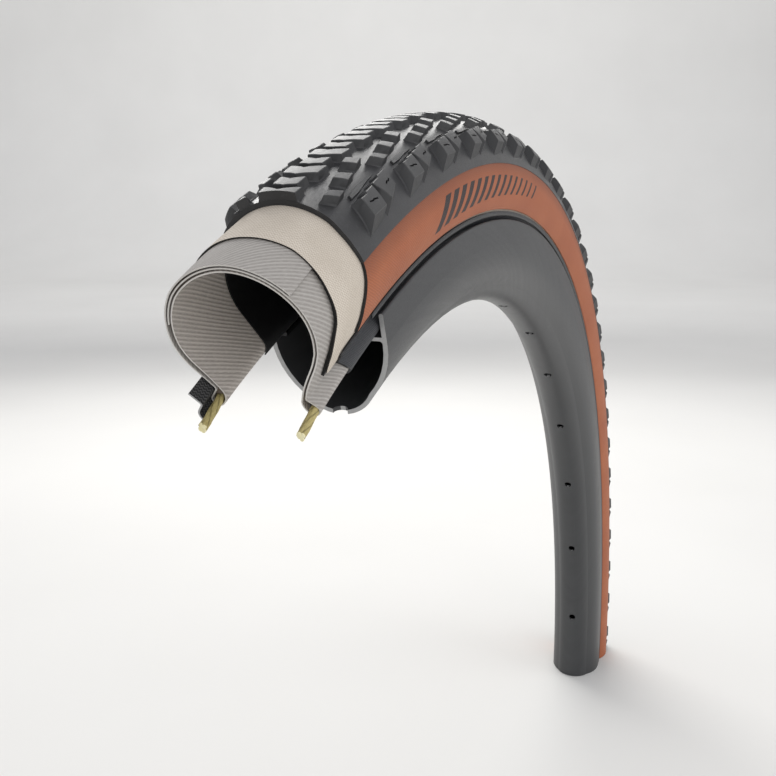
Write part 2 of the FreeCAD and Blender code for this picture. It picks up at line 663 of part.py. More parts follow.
def place_row(shape, first, step, lo, hi):
    """Copies of one block around the axle, cut where they cross either end plane."""
    out = []
    k = -4
    while first + k * step < 92.0:
        a = first + k * step
        k += 1
        if a + hi <= FRONT + 0.05 or a + lo >= 90.0 - 0.05:
            continue
        c = shape.copy()
        c.rotate(Vector(0, 0, 0), Vector(0, 1, 0), a)
        if a + lo < FRONT:
            c = c.common(front_keep)
        if a + hi > 90.0:
            c = c.common(low_keep)
        for so in c.Solids:
            if so.Volume > 0.5:
                out.append(so)
    return out


def group(label, solids):
    f = doc.addObject("Part::Feature", label)
    f.Label = label
    f.Shape = Part.makeCompound(solids)
    f.Placement = FreeCAD.Placement(Vector(0, 0, 0), FreeCAD.Rotation(0, 0, 0))
    return f


bp, sp = P["bar_pitch"], P["side_pitch"]
wide = block(WIDE, WIDE_F, P["centre_top"])
group("centre_bars_wide", place_row(wide, -19.75, bp, -0.95, 0.55))
narrow = block(NARROW, NARROW_F, P["centre_top"])
group("centre_bars_narrow", place_row(narrow, -18.80, bp, -0.70, 0.60))
for side, s, sh in (("near", -1, 0.0), ("far", 1, P["far_shift"])):
    solids = []
    for poly, centre in TRANS:
        tb_ = block(mirror(poly, s), mirror(grow(poly, 0.22, 1.7), s), P["transition_top"])
        solids += place_row(tb_, centre + sh, sp, -0.75, 0.85)
    group("transition_blocks_" + side, solids)
    mid = -19.2
    a_top = [(t - mid, s * p) for t, p in SHOULDER_A]
    a_foot = [(t - mid, s * p) for t, p in SHOULDER_A_F]
    b_top = [(t - mid, s * p) for t, p in SHOULDER_B]
    b_foot = [(t - mid, s * p) for t, p in SHOULDER_B_F]
    ka = block(a_top, a_foot, P["shoulder_top"])
    kb = block(b_top, b_foot, P["shoulder_top"] - 0.15)
    pair = Part.makeCompound([ka, kb])
    group("shoulder_knobs_" + side, place_row(pair, mid + sh, sp, -2.1, 1.9))
    ledge = [(t - mid, s * p) for t, p in LEDGE]
    group("shoulder_ledges_" + side, place_row(block(ledge, ledge, P["ledge_top"]), mid + sh, sp, -1.3, 1.3))

doc.recompute()

# ---------------------------------------------------------------- checks and export
NODES = ["rim", "rim_tape", "inner_liner", "casing_ply", "bead_core_near", "bead_core_far",
         "bead_filler_near", "bead_filler_far", "breaker", "chafer_near", "chafer_far",
         "rim_strip_near", "rim_strip_far", "sidewall_near", "sidewall_far", "tread_base",
         "centre_bars_wide", "centre_bars_narrow", "transition_blocks_near",
         "transition_blocks_far", "shoulder_knobs_near", "shoulder_knobs_far",
         "shoulder_ledges_near", "shoulder_ledges_far"]
for obj in doc.Objects:
    bad = [q for q in obj.State if q in ("Invalid", "Error")]
    if bad:
        raise RuntimeError("%s: %s" % (obj.Label, bad))
os.makedirs("parts", exist_ok=True)
for node in NODES:
    obj = [o for o in doc.Objects if o.Label == node][0]
    shp = obj.Shape
    if shp.isNull() or not shp.isValid():
        raise RuntimeError("bad shape: " + node)
    bb = shp.BoundBox
    print("%-24s solids %3d vol %10.1f  x %.1f..%.1f y %.2f..%.2f z %.1f..%.1f" % (
        node, len(shp.Solids), shp.Volume, bb.XMin, bb.XMax, bb.YMin, bb.YMax, bb.ZMin, bb.ZMax))
    shp.exportStep("parts/" + node + ".step")
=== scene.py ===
import bpy, bmesh, math
import numpy as np
from mathutils import Vector, Matrix

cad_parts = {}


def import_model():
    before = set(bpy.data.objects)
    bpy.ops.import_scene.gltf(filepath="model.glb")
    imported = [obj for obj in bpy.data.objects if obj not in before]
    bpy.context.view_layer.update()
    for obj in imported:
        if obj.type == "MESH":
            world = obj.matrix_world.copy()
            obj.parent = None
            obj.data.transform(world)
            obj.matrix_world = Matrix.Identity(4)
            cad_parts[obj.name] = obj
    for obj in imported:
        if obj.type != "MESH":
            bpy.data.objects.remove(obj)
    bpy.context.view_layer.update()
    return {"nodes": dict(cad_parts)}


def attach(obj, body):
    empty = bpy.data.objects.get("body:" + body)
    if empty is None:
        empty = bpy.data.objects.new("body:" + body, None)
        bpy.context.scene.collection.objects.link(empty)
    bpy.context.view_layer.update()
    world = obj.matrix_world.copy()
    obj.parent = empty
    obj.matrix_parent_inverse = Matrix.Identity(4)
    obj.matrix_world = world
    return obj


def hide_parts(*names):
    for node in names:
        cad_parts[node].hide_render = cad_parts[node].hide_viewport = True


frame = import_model()
scene = bpy.context.scene
MM = 0.001
R0 = 330.30            # carcass centre circle
TC, TO = 330.84, 18.16  # tread base circle
rng = np.random.default_rng(7)


# ------------------------------------------------------------------ node helpers
class Tree:
    """A small builder for one procedural material."""

    def __init__(self, name):
        self.mat = bpy.data.materials.new(name)
        self.mat.use_nodes = True
        self.nt = self.mat.node_tree
        self.nt.nodes.clear()
        self.out = self.nt.nodes.new("ShaderNodeOutputMaterial")
        self.bsdf = self.nt.nodes.new("ShaderNodeBsdfPrincipled")
        self.nt.links.new(self.bsdf.outputs[0], self.out.inputs[0])

    def node(self, kind, **kw):
        n = self.nt.nodes.new(kind)
        for k, v in kw.items():
            setattr(n, k, v)
        return n

    def link(self, a, b):
        self.nt.links.new(a, b)

    def set(self, socket, v):
        if hasattr(v, "links") or isinstance(v, bpy.types.NodeSocket):
            self.link(v, socket)
        else:
            socket.default_value = v

    def math(self, op, a, b=0.0, c=None, clamp=False):
        n = self.node("ShaderNodeMath", operation=op, use_clamp=clamp)
        self.set(n.inputs[0], a)
        self.set(n.inputs[1], b)
        if c is not None:
            self.set(n.inputs[2], c)
        return n.outputs[0]

    def obj(self):
        return self.node("ShaderNodeTexCoord").outputs["Object"]

    def uv(self, which="lay"):
        n = self.node("ShaderNodeUVMap")
        n.uv_map = which
        return n.outputs[0]

    def split(self, vec):
        n = self.node("ShaderNodeSeparateXYZ")
        self.link(vec, n.inputs[0])
        return n.outputs

    def join(self, x, y, z=0.0):
        n = self.node("ShaderNodeCombineXYZ")
        self.set(n.inputs[0], x)
        self.set(n.inputs[1], y)
        self.set(n.inputs[2], z)
        return n.outputs[0]

    def noise(self, vec, scale, detail=2.0, rough=0.5, dist=0.0):
        n = self.node("ShaderNodeTexNoise")
        self.link(vec, n.inputs["Vector"])
        n.inputs["Scale"].default_value = scale
        n.inputs["Detail"].default_value = detail
        n.inputs["Roughness"].default_value = rough
        n.inputs["Distortion"].default_value = dist
        return n.outputs["Fac"]

    def ramp(self, fac, stops, interp="LINEAR"):
        n = self.node("ShaderNodeValToRGB")
        cr = n.color_ramp
        cr.interpolation = interp
        while len(cr.elements) < len(stops):
            cr.elements.new(0.5)
        for e, (p, c) in zip(cr.elements, stops):
            e.position = p
            e.color = (c, c, c, 1) if isinstance(c, (int, float)) else tuple(c) + (1,)
        self.link(fac, n.inputs[0])
        return n.outputs[0]

    def mix(self, fac, a, b, mode="MIX"):
        n = self.node("ShaderNodeMix", data_type="RGBA", blend_type=mode)
        self.set(n.inputs["Factor"], fac)
        for s, v in ((n.inputs[6], a), (n.inputs[7], b)):
            if isinstance(v, tuple):
                s.default_value = v + (1,) if len(v) == 3 else v
            else:
                self.link(v, s)
        return n.outputs[2]

    def remap(self, v, a, b, c, d):
        n = self.node("ShaderNodeMapRange")
        self.set(n.inputs[0], v)
        for i, q in enumerate((a, b, c, d), start=1):
            n.inputs[i].default_value = q
        return n.outputs[0]

    def bump(self, height, dist, strength=1.0, prev=None):
        n = self.node("ShaderNodeBump")
        n.inputs["Distance"].default_value = dist
        n.inputs["Strength"].default_value = strength
        self.link(height, n.inputs["Height"])
        if prev is not None:
            self.link(prev, n.inputs["Normal"])
        return n.outputs[0]

    def wave(self, q, pitch):
        """0..1 rounded ridges across the value q (mm) at that pitch."""
        t = self.math("MULTIPLY", q, 2 * math.pi / pitch)
        s = self.math("SINE", t)
        return self.math("MULTIPLY_ADD", s, 0.5, 0.5)

    def finish(self, color, rough, normal=None, **sockets):
        b = self.bsdf
        self.set(b.inputs["Base Color"], color if not isinstance(color, tuple) else color + (1,))
        self.set(b.inputs["Roughness"], rough)
        if normal is not None:
            self.link(normal, b.inputs["Normal"])
        for k, v in sockets.items():
            b.inputs[k.replace("_", " ")].default_value = v
        return self.mat


def lin(r, g, b):
    """sRGB 0-255 to linear."""
    out = []
    for c in (r, g, b):
        c = c / 255.0
        out.append(c / 12.92 if c <= 0.04045 else ((c + 0.055) / 1.055) ** 2.4)
    return tuple(out)


# ------------------------------------------------------------------ materials
def rubber(name, dark, light, rmin, rmax, speck=0.5, bump=0.00005, spec=0.5):
    t = Tree(name)
    p = t.obj()
    big = t.noise(p, 60.0, 3.0)
    mid = t.noise(p, 900.0, 3.0, 0.6)
    fine = t.noise(p, 5200.0, 2.0, 0.7)
    col = t.mix(t.remap(big, 0.3, 0.7, 0.0, 1.0), dark, light)
    col = t.mix(t.remap(mid, 0.55, 0.8, 0.0, speck), col, tuple(min(1.0, c * 1.7) for c in light))
    rough = t.remap(t.math("MULTIPLY_ADD", mid, 0.6, t.math("MULTIPLY", fine, 0.4)), 0.3, 0.7, rmin, rmax)
    h = t.math("MULTIPLY_ADD", fine, 0.7, t.math("MULTIPLY", mid, 0.6))
    nrm = t.bump(h, bump, 0.6)
    return t.finish(col, rough, nrm, Specular_IOR_Level=spec)


def threads(name, light, dark, pitch, ku, kv, depth=0.00022, wob=0.28, fuzz=0.35, rough=0.72):
    """Parallel cords under a thin rubber skin. ku, kv give the cords' direction in the lay map (mm)."""
    t = Tree(name)
    uv = t.uv()
    u, v, _ = t.split(uv)
    q = t.math("MULTIPLY_ADD", u, ku, t.math("MULTIPLY", v, kv))
    along = t.math("MULTIPLY_ADD", u, -kv, t.math("MULTIPLY", v, ku))
    slow = t.noise(t.join(t.math("MULTIPLY", q, 0.45), t.math("MULTIPLY", along, 0.07)), 1.0, 2.0)
    qq = t.math("MULTIPLY_ADD", t.math("SUBTRACT", slow, 0.5), wob, q)
    w = t.wave(qq, pitch)
    # each cord has its own tone
    tone = t.noise(t.join(t.math("MULTIPLY", q, 1.0 / pitch), t.math("MULTIPLY", along, 0.03)), 1.0, 1.0)
    fib = t.noise(t.join(t.math("MULTIPLY", q, 5.5), t.math("MULTIPLY", along, 0.8)), 1.0, 3.0, 0.65)
    twist = t.wave(t.math("MULTIPLY_ADD", q, 2.4, along), 0.55)
    col = t.mix(t.ramp(w, [(0.0, 0.0), (0.5, 0.25), (0.95, 1.0)]), dark, light)
    col = t.mix(t.remap(tone, 0.35, 0.65, 0.0, 0.32), col, dark)
    col = t.mix(t.remap(fib, 0.45, 0.75, 0.0, fuzz), col, tuple(min(1, c * 1.45) for c in light))
    hgt = t.math("MULTIPLY_ADD", w, 1.0, t.math("MULTIPLY_ADD", fib, 0.35, t.math("MULTIPLY", twist, 0.12)))
    nrm = t.bump(hgt, depth, 0.9)
    return t.finish(col, t.remap(fib, 0.3, 0.7, rough - 0.1, rough + 0.1), nrm, Specular_IOR_Level=0.35)


def weave(name, light, dark, pitch, ku, kv, depth=0.00012, rough=0.8, tint=None, contrast=1.0):
    """Two crossing sets of yarns, over and under."""
    t = Tree(name)
    u, v, _ = t.split(t.uv())
    a = t.math("MULTIPLY_ADD", u, ku, t.math("MULTIPLY", v, kv))
    b = t.math("MULTIPLY_ADD", u, -kv, t.math("MULTIPLY", v, ku))
    jig = t.noise(t.join(t.math("MULTIPLY", a, 0.35), t.math("MULTIPLY", b, 0.35)), 1.0, 2.0)
    a2 = t.math("MULTIPLY_ADD", t.math("SUBTRACT", jig, 0.5), pitch * 0.7, a)
    b2 = t.math("MULTIPLY_ADD", t.math("SUBTRACT", jig, 0.5), pitch * -0.6, b)
    wa = t.wave(a2, pitch)
    wb = t.wave(b2, pitch)
    # plain weave: at each crossing one yarn is on top
    s = t.math("MULTIPLY", t.math("SINE", t.math("MULTIPLY", a2, math.pi / pitch)),
               t.math("SINE", t.math("MULTIPLY", b2, math.pi / pitch)))
    top = t.remap(s, -0.25, 0.25, 0.0, 1.0)
    h = t.math("ADD", t.math("MULTIPLY", wa, top), t.math("MULTIPLY", wb, t.math("SUBTRACT", 1.0, top)))
    big = t.noise(t.join(u, v), 0.09, 3.0)
    fine = t.noise(t.join(u, v), 7.0, 2.0, 0.7)
    col = t.mix(t.remap(h, 0.15, 0.85, 0.0, contrast), dark, light)
    col = t.mix(t.remap(big, 0.35, 0.7, 0.0, 0.45), col, tint or dark)
    col = t.mix(t.remap(fine, 0.5, 0.8, 0.0, 0.25), col, tuple(min(1, c * 1.3) for c in light))
    nrm = t.bump(t.math("MULTIPLY_ADD", fine, 0.3, h), depth, 0.8)
    return t.finish(col, t.remap(fine, 0.3, 0.7, rough - 0.08, rough + 0.08), nrm, Specular_IOR_Level=0.3)


def tan_wall(name):
    t = Tree(name)
    uv = t.uv()
    u, v, _ = t.split(uv)
    q = t.math("MULTIPLY_ADD", u, 0.60, t.math("MULTIPLY", v, -0.80))
    q2 = t.math("MULTIPLY_ADD", u, 0.62, t.math("MULTIPLY", v, 0.78))
    jig = t.noise(uv, 0.35, 2.0)
    w = t.wave(t.math("MULTIPLY_ADD", t.math("SUBTRACT", jig, 0.5), 0.5, q), 0.62)
    w2 = t.wave(t.math("MULTIPLY_ADD", t.math("SUBTRACT", jig, 0.5), 0.5, q2), 0.62)
    big = t.noise(uv, 0.035, 3.0)
    fine = t.noise(uv, 5.0, 3.0, 0.7)
    base = t.mix(t.remap(big, 0.3, 0.7, 0.0, 1.0), lin(166, 90, 54), lin(180, 104, 65))
    base = t.mix(t.remap(w, 0.1, 0.9, 0.30, 0.0), base, lin(118, 66, 42))
    base = t.mix(t.remap(w2, 0.1, 0.9, 0.12, 0.0), base, lin(130, 78, 54))
    base = t.mix(t.remap(fine, 0.45, 0.8, 0.0, 0.30), base, lin(184, 110, 72))
    # slightly darker towards the border next to the black wing
    edge = t.remap(v, 23.4, 29.0, 0.55, 0.0)
    base = t.mix(edge, base, lin(92, 52, 38))
    # generic mark: a plain set of slanted bars, tapering off to one side
    s = t.math("MULTIPLY_ADD", v, 0.90, u)
    cell = t.math("FRACT", t.math("DIVIDE", s, 8.2))
    idx = t.math("FLOOR", t.math("DIVIDE", s, 8.2))
    duty = t.remap(idx, -6.0, 8.0, 0.62, 0.26)
    bar = t.math("LESS_THAN", cell, duty)
    lo = t.math("GREATER_THAN", v, t.remap(idx, -6.0, 8.0, 26.8, 27.8))
    hi = t.math("LESS_THAN", v, t.remap(idx, -6.0, 8.0, 35.6, 33.0))
    left = t.math("GREATER_THAN", idx, -6.5)
    right = t.math("LESS_THAN", idx, 8.5)
    ink = t.math("MULTIPLY", t.math("MULTIPLY", bar, lo), t.math("MULTIPLY", hi, t.math("MULTIPLY", left, right)))
    ink = t.math("MULTIPLY", ink, t.remap(fine, 0.2, 0.34, 0.72, 0.96))
    col = t.mix(ink, base, lin(34, 34, 36))
    h = t.math("MULTIPLY_ADD", w, 0.7, t.math("MULTIPLY_ADD", w2, 0.25, t.math("MULTIPLY", fine, 0.5)))
    nrm = t.bump(h, 0.00007, 0.8)
    return t.finish(col, t.remap(fine, 0.3, 0.7, 0.5, 0.66), nrm, Specular_IOR_Level=0.4)


def rim_paint(name):
    t = Tree(name)
    p = t.obj()
    x, y, z = t.split(p)
    r = t.math("SQRT", t.math("MULTIPLY_ADD", x, x, t.math("MULTIPLY", z, z)))
    th = t.math("ARCTAN2", x, z)
    arc = t.math("MULTIPLY", th, 310.0)
    rr = t.math("MULTIPLY", r, 1000.0)
    yy = t.math("MULTIPLY", y, 1000.0)
    # faint brushed arcs that sweep across the side, with finer lines along the hoop
    swp = t.noise(t.join(t.math("MULTIPLY_ADD", rr, 0.55, t.math("MULTIPLY", arc, 0.16)), t.math("MULTIPLY", rr, 0.02), t.math("MULTIPLY", yy, 0.05)), 1.0, 4.0, 0.62)
    hoop = t.noise(t.join(t.math("MULTIPLY", arc, 0.02), t.math("MULTIPLY", rr, 3.2), t.math("MULTIPLY", yy, 3.2)), 1.0, 3.0, 0.6)
    big = t.noise(p, 14.0, 3.0)
    grain = t.noise(p, 4200.0, 2.0, 0.7)
    col = t.mix(t.remap(swp, 0.32, 0.68, 0.0, 1.0), lin(68, 69, 70), lin(73, 74, 75))
    col = t.mix(t.remap(hoop, 0.4, 0.75, 0.0, 0.18), col, lin(84, 85, 87))
    col = t.mix(t.remap(big, 0.35, 0.7, 0.0, 0.25), col, lin(56, 57, 59))
    # bare, lighter metal on the sawn end
    g = t.node("ShaderNodeNewGeometry")
    n = t.split(g.outputs["True Normal"])
    ct = t.math("COSINE", th)
    st = t.math("SINE", th)
    along = t.math("ABSOLUTE", t.math("SUBTRACT", t.math("MULTIPLY", n[0], ct), t.math("MULTIPLY", n[2], st)))
    cutf = t.math("GREATER_THAN", along, 0.93)
    cutf = t.math("MULTIPLY", cutf, t.math("SUBTRACT", 1.0, t.math("MULTIPLY", t.math("GREATER_THAN", yy, 0.0), t.math("GREATER_THAN", rr, 309.0))))
    saw = t.noise(t.join(t.math("MULTIPLY", yy, 1.2), t.math("MULTIPLY", rr, 9.0)), 1.0, 3.0, 0.6)
    col = t.mix(cutf, col, t.mix(t.remap(saw, 0.35, 0.65, 0.0, 1.0), lin(158, 158, 158), lin(176, 176, 175)))
    # painted shade: the far side of the rim well painted near black
    well_painted_shade = t.math("MULTIPLY", t.math("MULTIPLY", t.math("GREATER_THAN", yy, 4.0), t.math("LESS_THAN", yy, 13.6)), t.math("MULTIPLY", t.math("GREATER_THAN", rr, 309.3), t.math("LESS_THAN", rr, 311.2)))
    col = t.mix(well_painted_shade, col, lin(14, 14, 15))
    rough = t.math("MULTIPLY_ADD", t.remap(swp, 0.3, 0.7, -0.02, 0.03), 1.0, t.remap(grain, 0.3, 0.7, 0.36, 0.50))
    h = t.math("MULTIPLY_ADD", hoop, 0.8, t.math("MULTIPLY", grain, 0.25))
    nrm = t.bump(h, 0.00003, 0.7)
    return t.finish(col, rough, nrm, Metallic=0.35, Specular_IOR_Level=0.5)


# tread rubber in lit and shaded copies: block tops painted lighter as a painted highlight, block sides painted darker
# as painted shade, the base between the blocks in between
M_SIDE_PAINTED_SHADE = rubber("tread_rubber_side_painted_shade", lin(44, 44, 45), lin(54, 54, 55), 0.46, 0.62)
M_TOP_PAINTED_LIT = rubber("tread_rubber_top_painted_lit", lin(54, 54, 55), lin(68, 68, 68), 0.36, 0.50, speck=0.6)
M_BASE = rubber("tread_rubber_base", lin(50, 50, 51), lin(60, 60, 61), 0.30, 0.42)
M_CUT = rubber("cut_rubber", lin(40, 40, 41), lin(48, 48, 48), 0.6, 0.75)
M_BLACK = rubber("black_skim", lin(20, 20, 20), lin(28, 28, 28), 0.6, 0.8)
M_STRIP = rubber("rim_strip_rubber", lin(34, 35, 37), lin(46, 47, 49), 0.38, 0.55)
M_PLY_OUT = threads("casing_outer_cords", lin(180, 176, 171), lin(150, 145, 140), 0.92, 0.68, -0.73, depth=0.00006)
# inner cords painted lighter than the outer ones: painted light making up for the shade inside the casing
M_PLY_IN_PAINTED_LIGHT = threads("casing_inner_cords_painted_light", lin(200, 193, 186), lin(162, 155, 148), 0.92, 0.59, 0.81, depth=0.00007)
# pale cut ends of the plies: light cord ends plus a painted edge highlight
M_PLY_CUT_LIT = rubber("casing_cut_edge_painted_highlight", lin(190, 186, 180), lin(208, 204, 198), 0.6, 0.8, speck=0.3)
M_SKIM = rubber("casing_gum", lin(82, 72, 63), lin(108, 97, 86), 0.6, 0.8)
M_BREAKER = weave("breaker_cloth", lin(226, 218, 206), lin(194, 182, 167), 0.52, 0.72, 0.69, depth=0.00007, tint=lin(188, 177, 162), contrast=0.8)
M_BREAKER_CUT = rubber("breaker_cut_edge", lin(26, 24, 22), lin(40, 37, 34), 0.6, 0.8)
M_LINER = rubber("liner_black", lin(18, 18, 19), lin(24, 24, 25), 0.42, 0.55, speck=0.2)
M_CHAFER = weave("chafer_mesh", lin(92, 92, 92), lin(26, 26, 27), 0.62, 0.80, 0.60, depth=0.0002, rough=0.6)
M_CHAFER_NEAR = threads("chafer_ribs", lin(84, 85, 88), lin(52, 53, 56), 0.50, 0.85, -0.52, depth=0.00014, fuzz=0.15, rough=0.5)
M_CHAFER_CUT = rubber("chafer_cut_edge", lin(150, 150, 150), lin(176, 176, 176), 0.55, 0.75)
M_FILLER = rubber("filler_gum", lin(118, 106, 92), lin(138, 126, 110), 0.6, 0.8)
M_TAN = tan_wall("tan_sidewall")
M_RIM = rim_paint("rim_graphite")


def strand_mat(name, a, b, c):
    t = Tree(name)
    u, v, _ = t.split(t.uv())
    fib = t.noise(t.join(t.math("MULTIPLY", u, 1.1), t.math("MULTIPLY", v, 9.0)), 1.0, 3.0, 0.65)
    slow = t.noise(t.join(t.math("MULTIPLY", u, 0.3), t.math("MULTIPLY", v, 1.6)), 1.0, 2.0)
    col = t.mix(t.remap(fib, 0.3, 0.7, 0.0, 1.0), a, b)
    col = t.mix(t.remap(slow, 0.4, 0.7, 0.0, 0.5), col, c)
    # painted shade darkening the creases between the strands
    crease_painted_shade = t.math("ABSOLUTE", t.math("COSINE", t.math("MULTIPLY", v, 2.0 / 1.1)))
    col = t.mix(t.remap(crease_painted_shade, 0.10, 0.50, 0.60, 0.0), col, tuple(q * 0.30 for q in a))
    nrm = t.bump(fib, 0.00012, 0.8)
    return t.finish(col, t.remap(fib, 0.3, 0.7, 0.45, 0.65), nrm, Specular_IOR_Level=0.4)


M_STRAND = strand_mat("bead_strands", lin(164, 148, 92), lin(214, 200, 142), lin(186, 170, 110))
M_STRAND_CUT = rubber("bead_cut", lin(232, 222, 170), lin(246, 238, 196), 0.5, 0.7, speck=0.3)
M_TAPE = rubber("tape", lin(30, 32, 36), lin(40, 42, 46), 0.3, 0.45, speck=0.2)


# ------------------------------------------------------------------ mesh helpers
def world(theta, r, y):
    """theta in degrees from +Z toward +X, r and y in mm."""
    a = np.radians(theta)
    return np.stack([r * np.sin(a), y + 0 * a, r * np.cos(a)], -1)


def torus(theta, phi, rho):
    p = np.radians(phi)
    return world(theta, R0 + rho * np.cos(p), rho * np.sin(p))


def make(name, verts, faces, mats, fmat=None, uv=None, sharp=32.0):
    me = bpy.data.meshes.new(name)
    me.from_pydata((np.asarray(verts, float) * MM).tolist(), [], [tuple(int(q) for q in f) for f in faces])
    for m in mats:
        me.materials.append(m)
    if fmat is not None:
        me.polygons.foreach_set("material_index", np.asarray(fmat, np.int32))
    if uv is not None:
        lay = me.uv_layers.new(name="lay")
        idx = np.empty(len(me.loops), np.int32)
        me.loops.foreach_get("vertex_index", idx)
        lay.data.foreach_set("uv", np.asarray(uv, np.float32)[idx].ravel())
    bm = bmesh.new()
    bm.from_mesh(me)
    bmesh.ops.recalc_face_normals(bm, faces=bm.faces)
    bm.to_mesh(me)
    bm.free()
    me.shade_smooth()
    me.set_sharp_from_angle(angle=math.radians(sharp))
    me.update()
    ob = bpy.data.objects.new(name, me)
    scene.collection.objects.link(ob)
    return ob


def spread(th, r, y):
    """The free, cut-open front of the casing and breaker stands a little wider than the closed tyre."""
    w = np.clip((-22.2 - th) / 4.2, 0.0, 1.0)
    w = w * w * (3 - 2 * w)
    phi = np.degrees(np.arctan2(y, r - R0))
    g = np.interp(phi, [-150, -135, -118, -95, -70, -30, 0, 15, 55, 100, 118, 132, 145], [0, 0.15, 0.5, 0.5, 0.3, 0, 0, 0.1, 1.12, 1.12, 0.75, 0.25, 0.0])
    return y + w * g


def layer(name, outer, inner, front, mats, vv=None, back=90.0, step=0.9, pick=None, uref=340.0, free=False):
    """A sheet swept round the axle. outer and inner are the section's two skins, point for point (r, y).
    front is the angle of the cut end at each section point. mats: outer skin, inner skin, cut end, long edges."""
    outer, inner = np.asarray(outer, float), np.asarray(inner, float)
    n = len(outer)
    front = np.broadcast_to(np.asarray(front, float), (n,))
    m = int(math.ceil((back - front.min()) / step)) + 1
    w = np.linspace(0, 1, m)
    th = front[:, None] + (back - front)[:, None] * w[None, :]
    oy, iy = outer[:, 1:2] + 0 * th, inner[:, 1:2] + 0 * th
    if free:
        oy, iy = spread(th, outer[:, 0:1], oy), spread(th, inner[:, 0:1], iy)
    vo = world(th, outer[:, 0:1], oy)
    vi = world(th, inner[:, 0:1], iy)
    verts = np.concatenate([vo.reshape(-1, 3), vi.reshape(-1, 3)])
    if vv is None:
        mid = (outer + inner) / 2
        vv = np.concatenate([[0], np.cumsum(np.hypot(*np.diff(mid, axis=0).T))])
    uvs = np.stack([np.radians(th) * uref, np.broadcast_to(vv[:, None], th.shape)], -1).reshape(-1, 2)
    uvs = np.concatenate([uvs, uvs])
    N = n * m
    I, J = np.meshgrid(np.arange(n - 1), np.arange(m - 1), indexing="ij")
    a = (I * m + J).ravel()
    quad = np.stack([a, a + 1, a + m + 1, a + m], -1)
    faces = [quad, quad[:, ::-1] + N]
    pk = np.zeros(n - 1, int) if pick is None else np.asarray(pick, int)
    mo = np.repeat(pk, m - 1)
    fm = [mo * 4, mo * 4 + 1]
    i = np.arange(n - 1)
    for j in (0, m - 1):
        q = np.stack([i * m + j, (i + 1) * m + j, (i + 1) * m + j + N, i * m + j + N], -1)
        faces.append(q)
        fm.append(np.full(n - 1, 2) if pick is None else pk * 4 + 2)
    j = np.arange(m - 1)
    for k in (0, n - 1):
        q = np.stack([k * m + j, k * m + j + 1, k * m + j + 1 + N, k * m + j + N], -1)
        faces.append(q)
        fm.append(np.full(m - 1, (pk[0] if k == 0 else pk[-1]) * 4 + 3))
    return make(name, verts, np.concatenate(faces), mats, np.concatenate(fm), uvs)


def arc_pts(c, r, a0, a1, n):
    a = np.radians(np.linspace(a0, a1, n))
    return np.stack([c[0] + r * np.cos(a), c[1] + r * np.sin(a)], -1)


def line_pts(a, b, n):
    w = np.linspace(0, 1, n)[:, None]
    return np.asarray(a, float) * (1 - w) + np.asarray(b, float) * w


def chain(*parts):
    out = [parts[0]]
    for p in parts[1:]:
        out.append(p[1:])
    return np.concatenate(out)


def offset(path, h):
    d = np.gradient(path, axis=0)
    d /= np.hypot(d[:, 0], d[:, 1])[:, None]
    nrm = np.stack([-d[:, 1], d[:, 0]], -1)
    h = np.broadcast_to(np.asarray(h, float), (len(path),))[:, None]
    return path + nrm * h


def ang(c, p):
    return math.degrees(math.atan2(p[1] - c[1], p[0] - c[0]))


TH = 0.32
A_, B_, C_ = 15.325, 16.075, 16.775


def cs(a):
    return np.array([math.cos(math.radians(a)), math.sin(math.radians(a))])


# bead path for the far side: flank, toe, under the core, over it, shallow valley, flank again
OC = np.array([R0, 0.0])
W_C = np.array([313.30, 11.55])
WR, TOR, TOA, LA, VR = 1.42, 3.00, 212.0, 52.0, 0.90
TOE_C = W_C + cs(TOA) * (WR - TOR)
_d = TOE_C - OC
PHI_T = math.degrees(math.atan2(_d[1], _d[0])) - math.degrees(math.acos((A_ + TOR) / np.hypot(*_d)))
OUTW, DOWN = cs(PHI_T), cs(PHI_T + 90.0)
LIFT = W_C + cs(LA) * WR
UP_L = cs(LA - 90.0)
_b = OC + OUTW * B_
_k = ((_b[0] - LIFT[0]) * (-DOWN[1]) + (_b[1] - LIFT[1]) * DOWN[0]) / (UP_L[0] * (-DOWN[1]) + UP_L[1] * DOWN[0])
VALLEY = LIFT + UP_L * _k


def tangent_phi(p, rho):
    d = p - OC
    return math.degrees(math.atan2(d[1], d[0])) - math.degrees(math.acos(rho / np.hypot(*d)))


def round_corner(a, v, b, r, n=9):
    ua, ub = (a - v) / np.hypot(*(a - v)), (b - v) / np.hypot(*(b - v))
    half = 0.5 * math.acos(max(-1.0, min(1.0, float(ua @ ub))))
    t = r / math.tan(half)
    bis = (ua + ub) / np.hypot(*(ua + ub))
    c = v + bis * (r / math.sin(half))
    p, q = v + ua * t, v + ub * t
    a0, a1 = ang(c, p), ang(c, q)
    if a1 - a0 > 180:
        a1 -= 360
    if a1 - a0 < -180:
        a1 += 360
    return arc_pts(c, r, a0, a1, n)


def bead_turn(rho, slack):
    """From the turn-up's circle to the inner run's circle, far side."""
    v = VALLEY - UP_L * slack
    pt = tangent_phi(v, rho)
    top = OC + cs(pt) * rho
    f = round_corner(top, v, LIFT, VR)
    return pt, chain(line_pts(top, f[0], 14), f, line_pts(f[-1], LIFT, 5), arc_pts(W_C, WR, LA, TOA, 26),
                     arc_pts(TOE_C, TOR, TOA, PHI_T + 180.0, 12), line_pts(TOE_C - OUTW * TOR, OC + OUTW * A_, 10))


def flip(path, s):
    return path * np.array([1.0, float(s)])


def flank(s, rho, low_r, phi0, n_arc=60, n_leg=14):
    """Circle from phi0 down one side, then straight on towards the bead to radius low_r."""
    t = OC + OUTW * rho
    low = t + DOWN * ((t[0] - low_r) / -DOWN[0])
    p = chain(arc_pts((R0, 0), rho, abs(phi0) if phi0 * s >= 0 else -abs(phi0), PHI_T, n_arc), line_pts(t, low, n_leg))
    return flip(p, s)


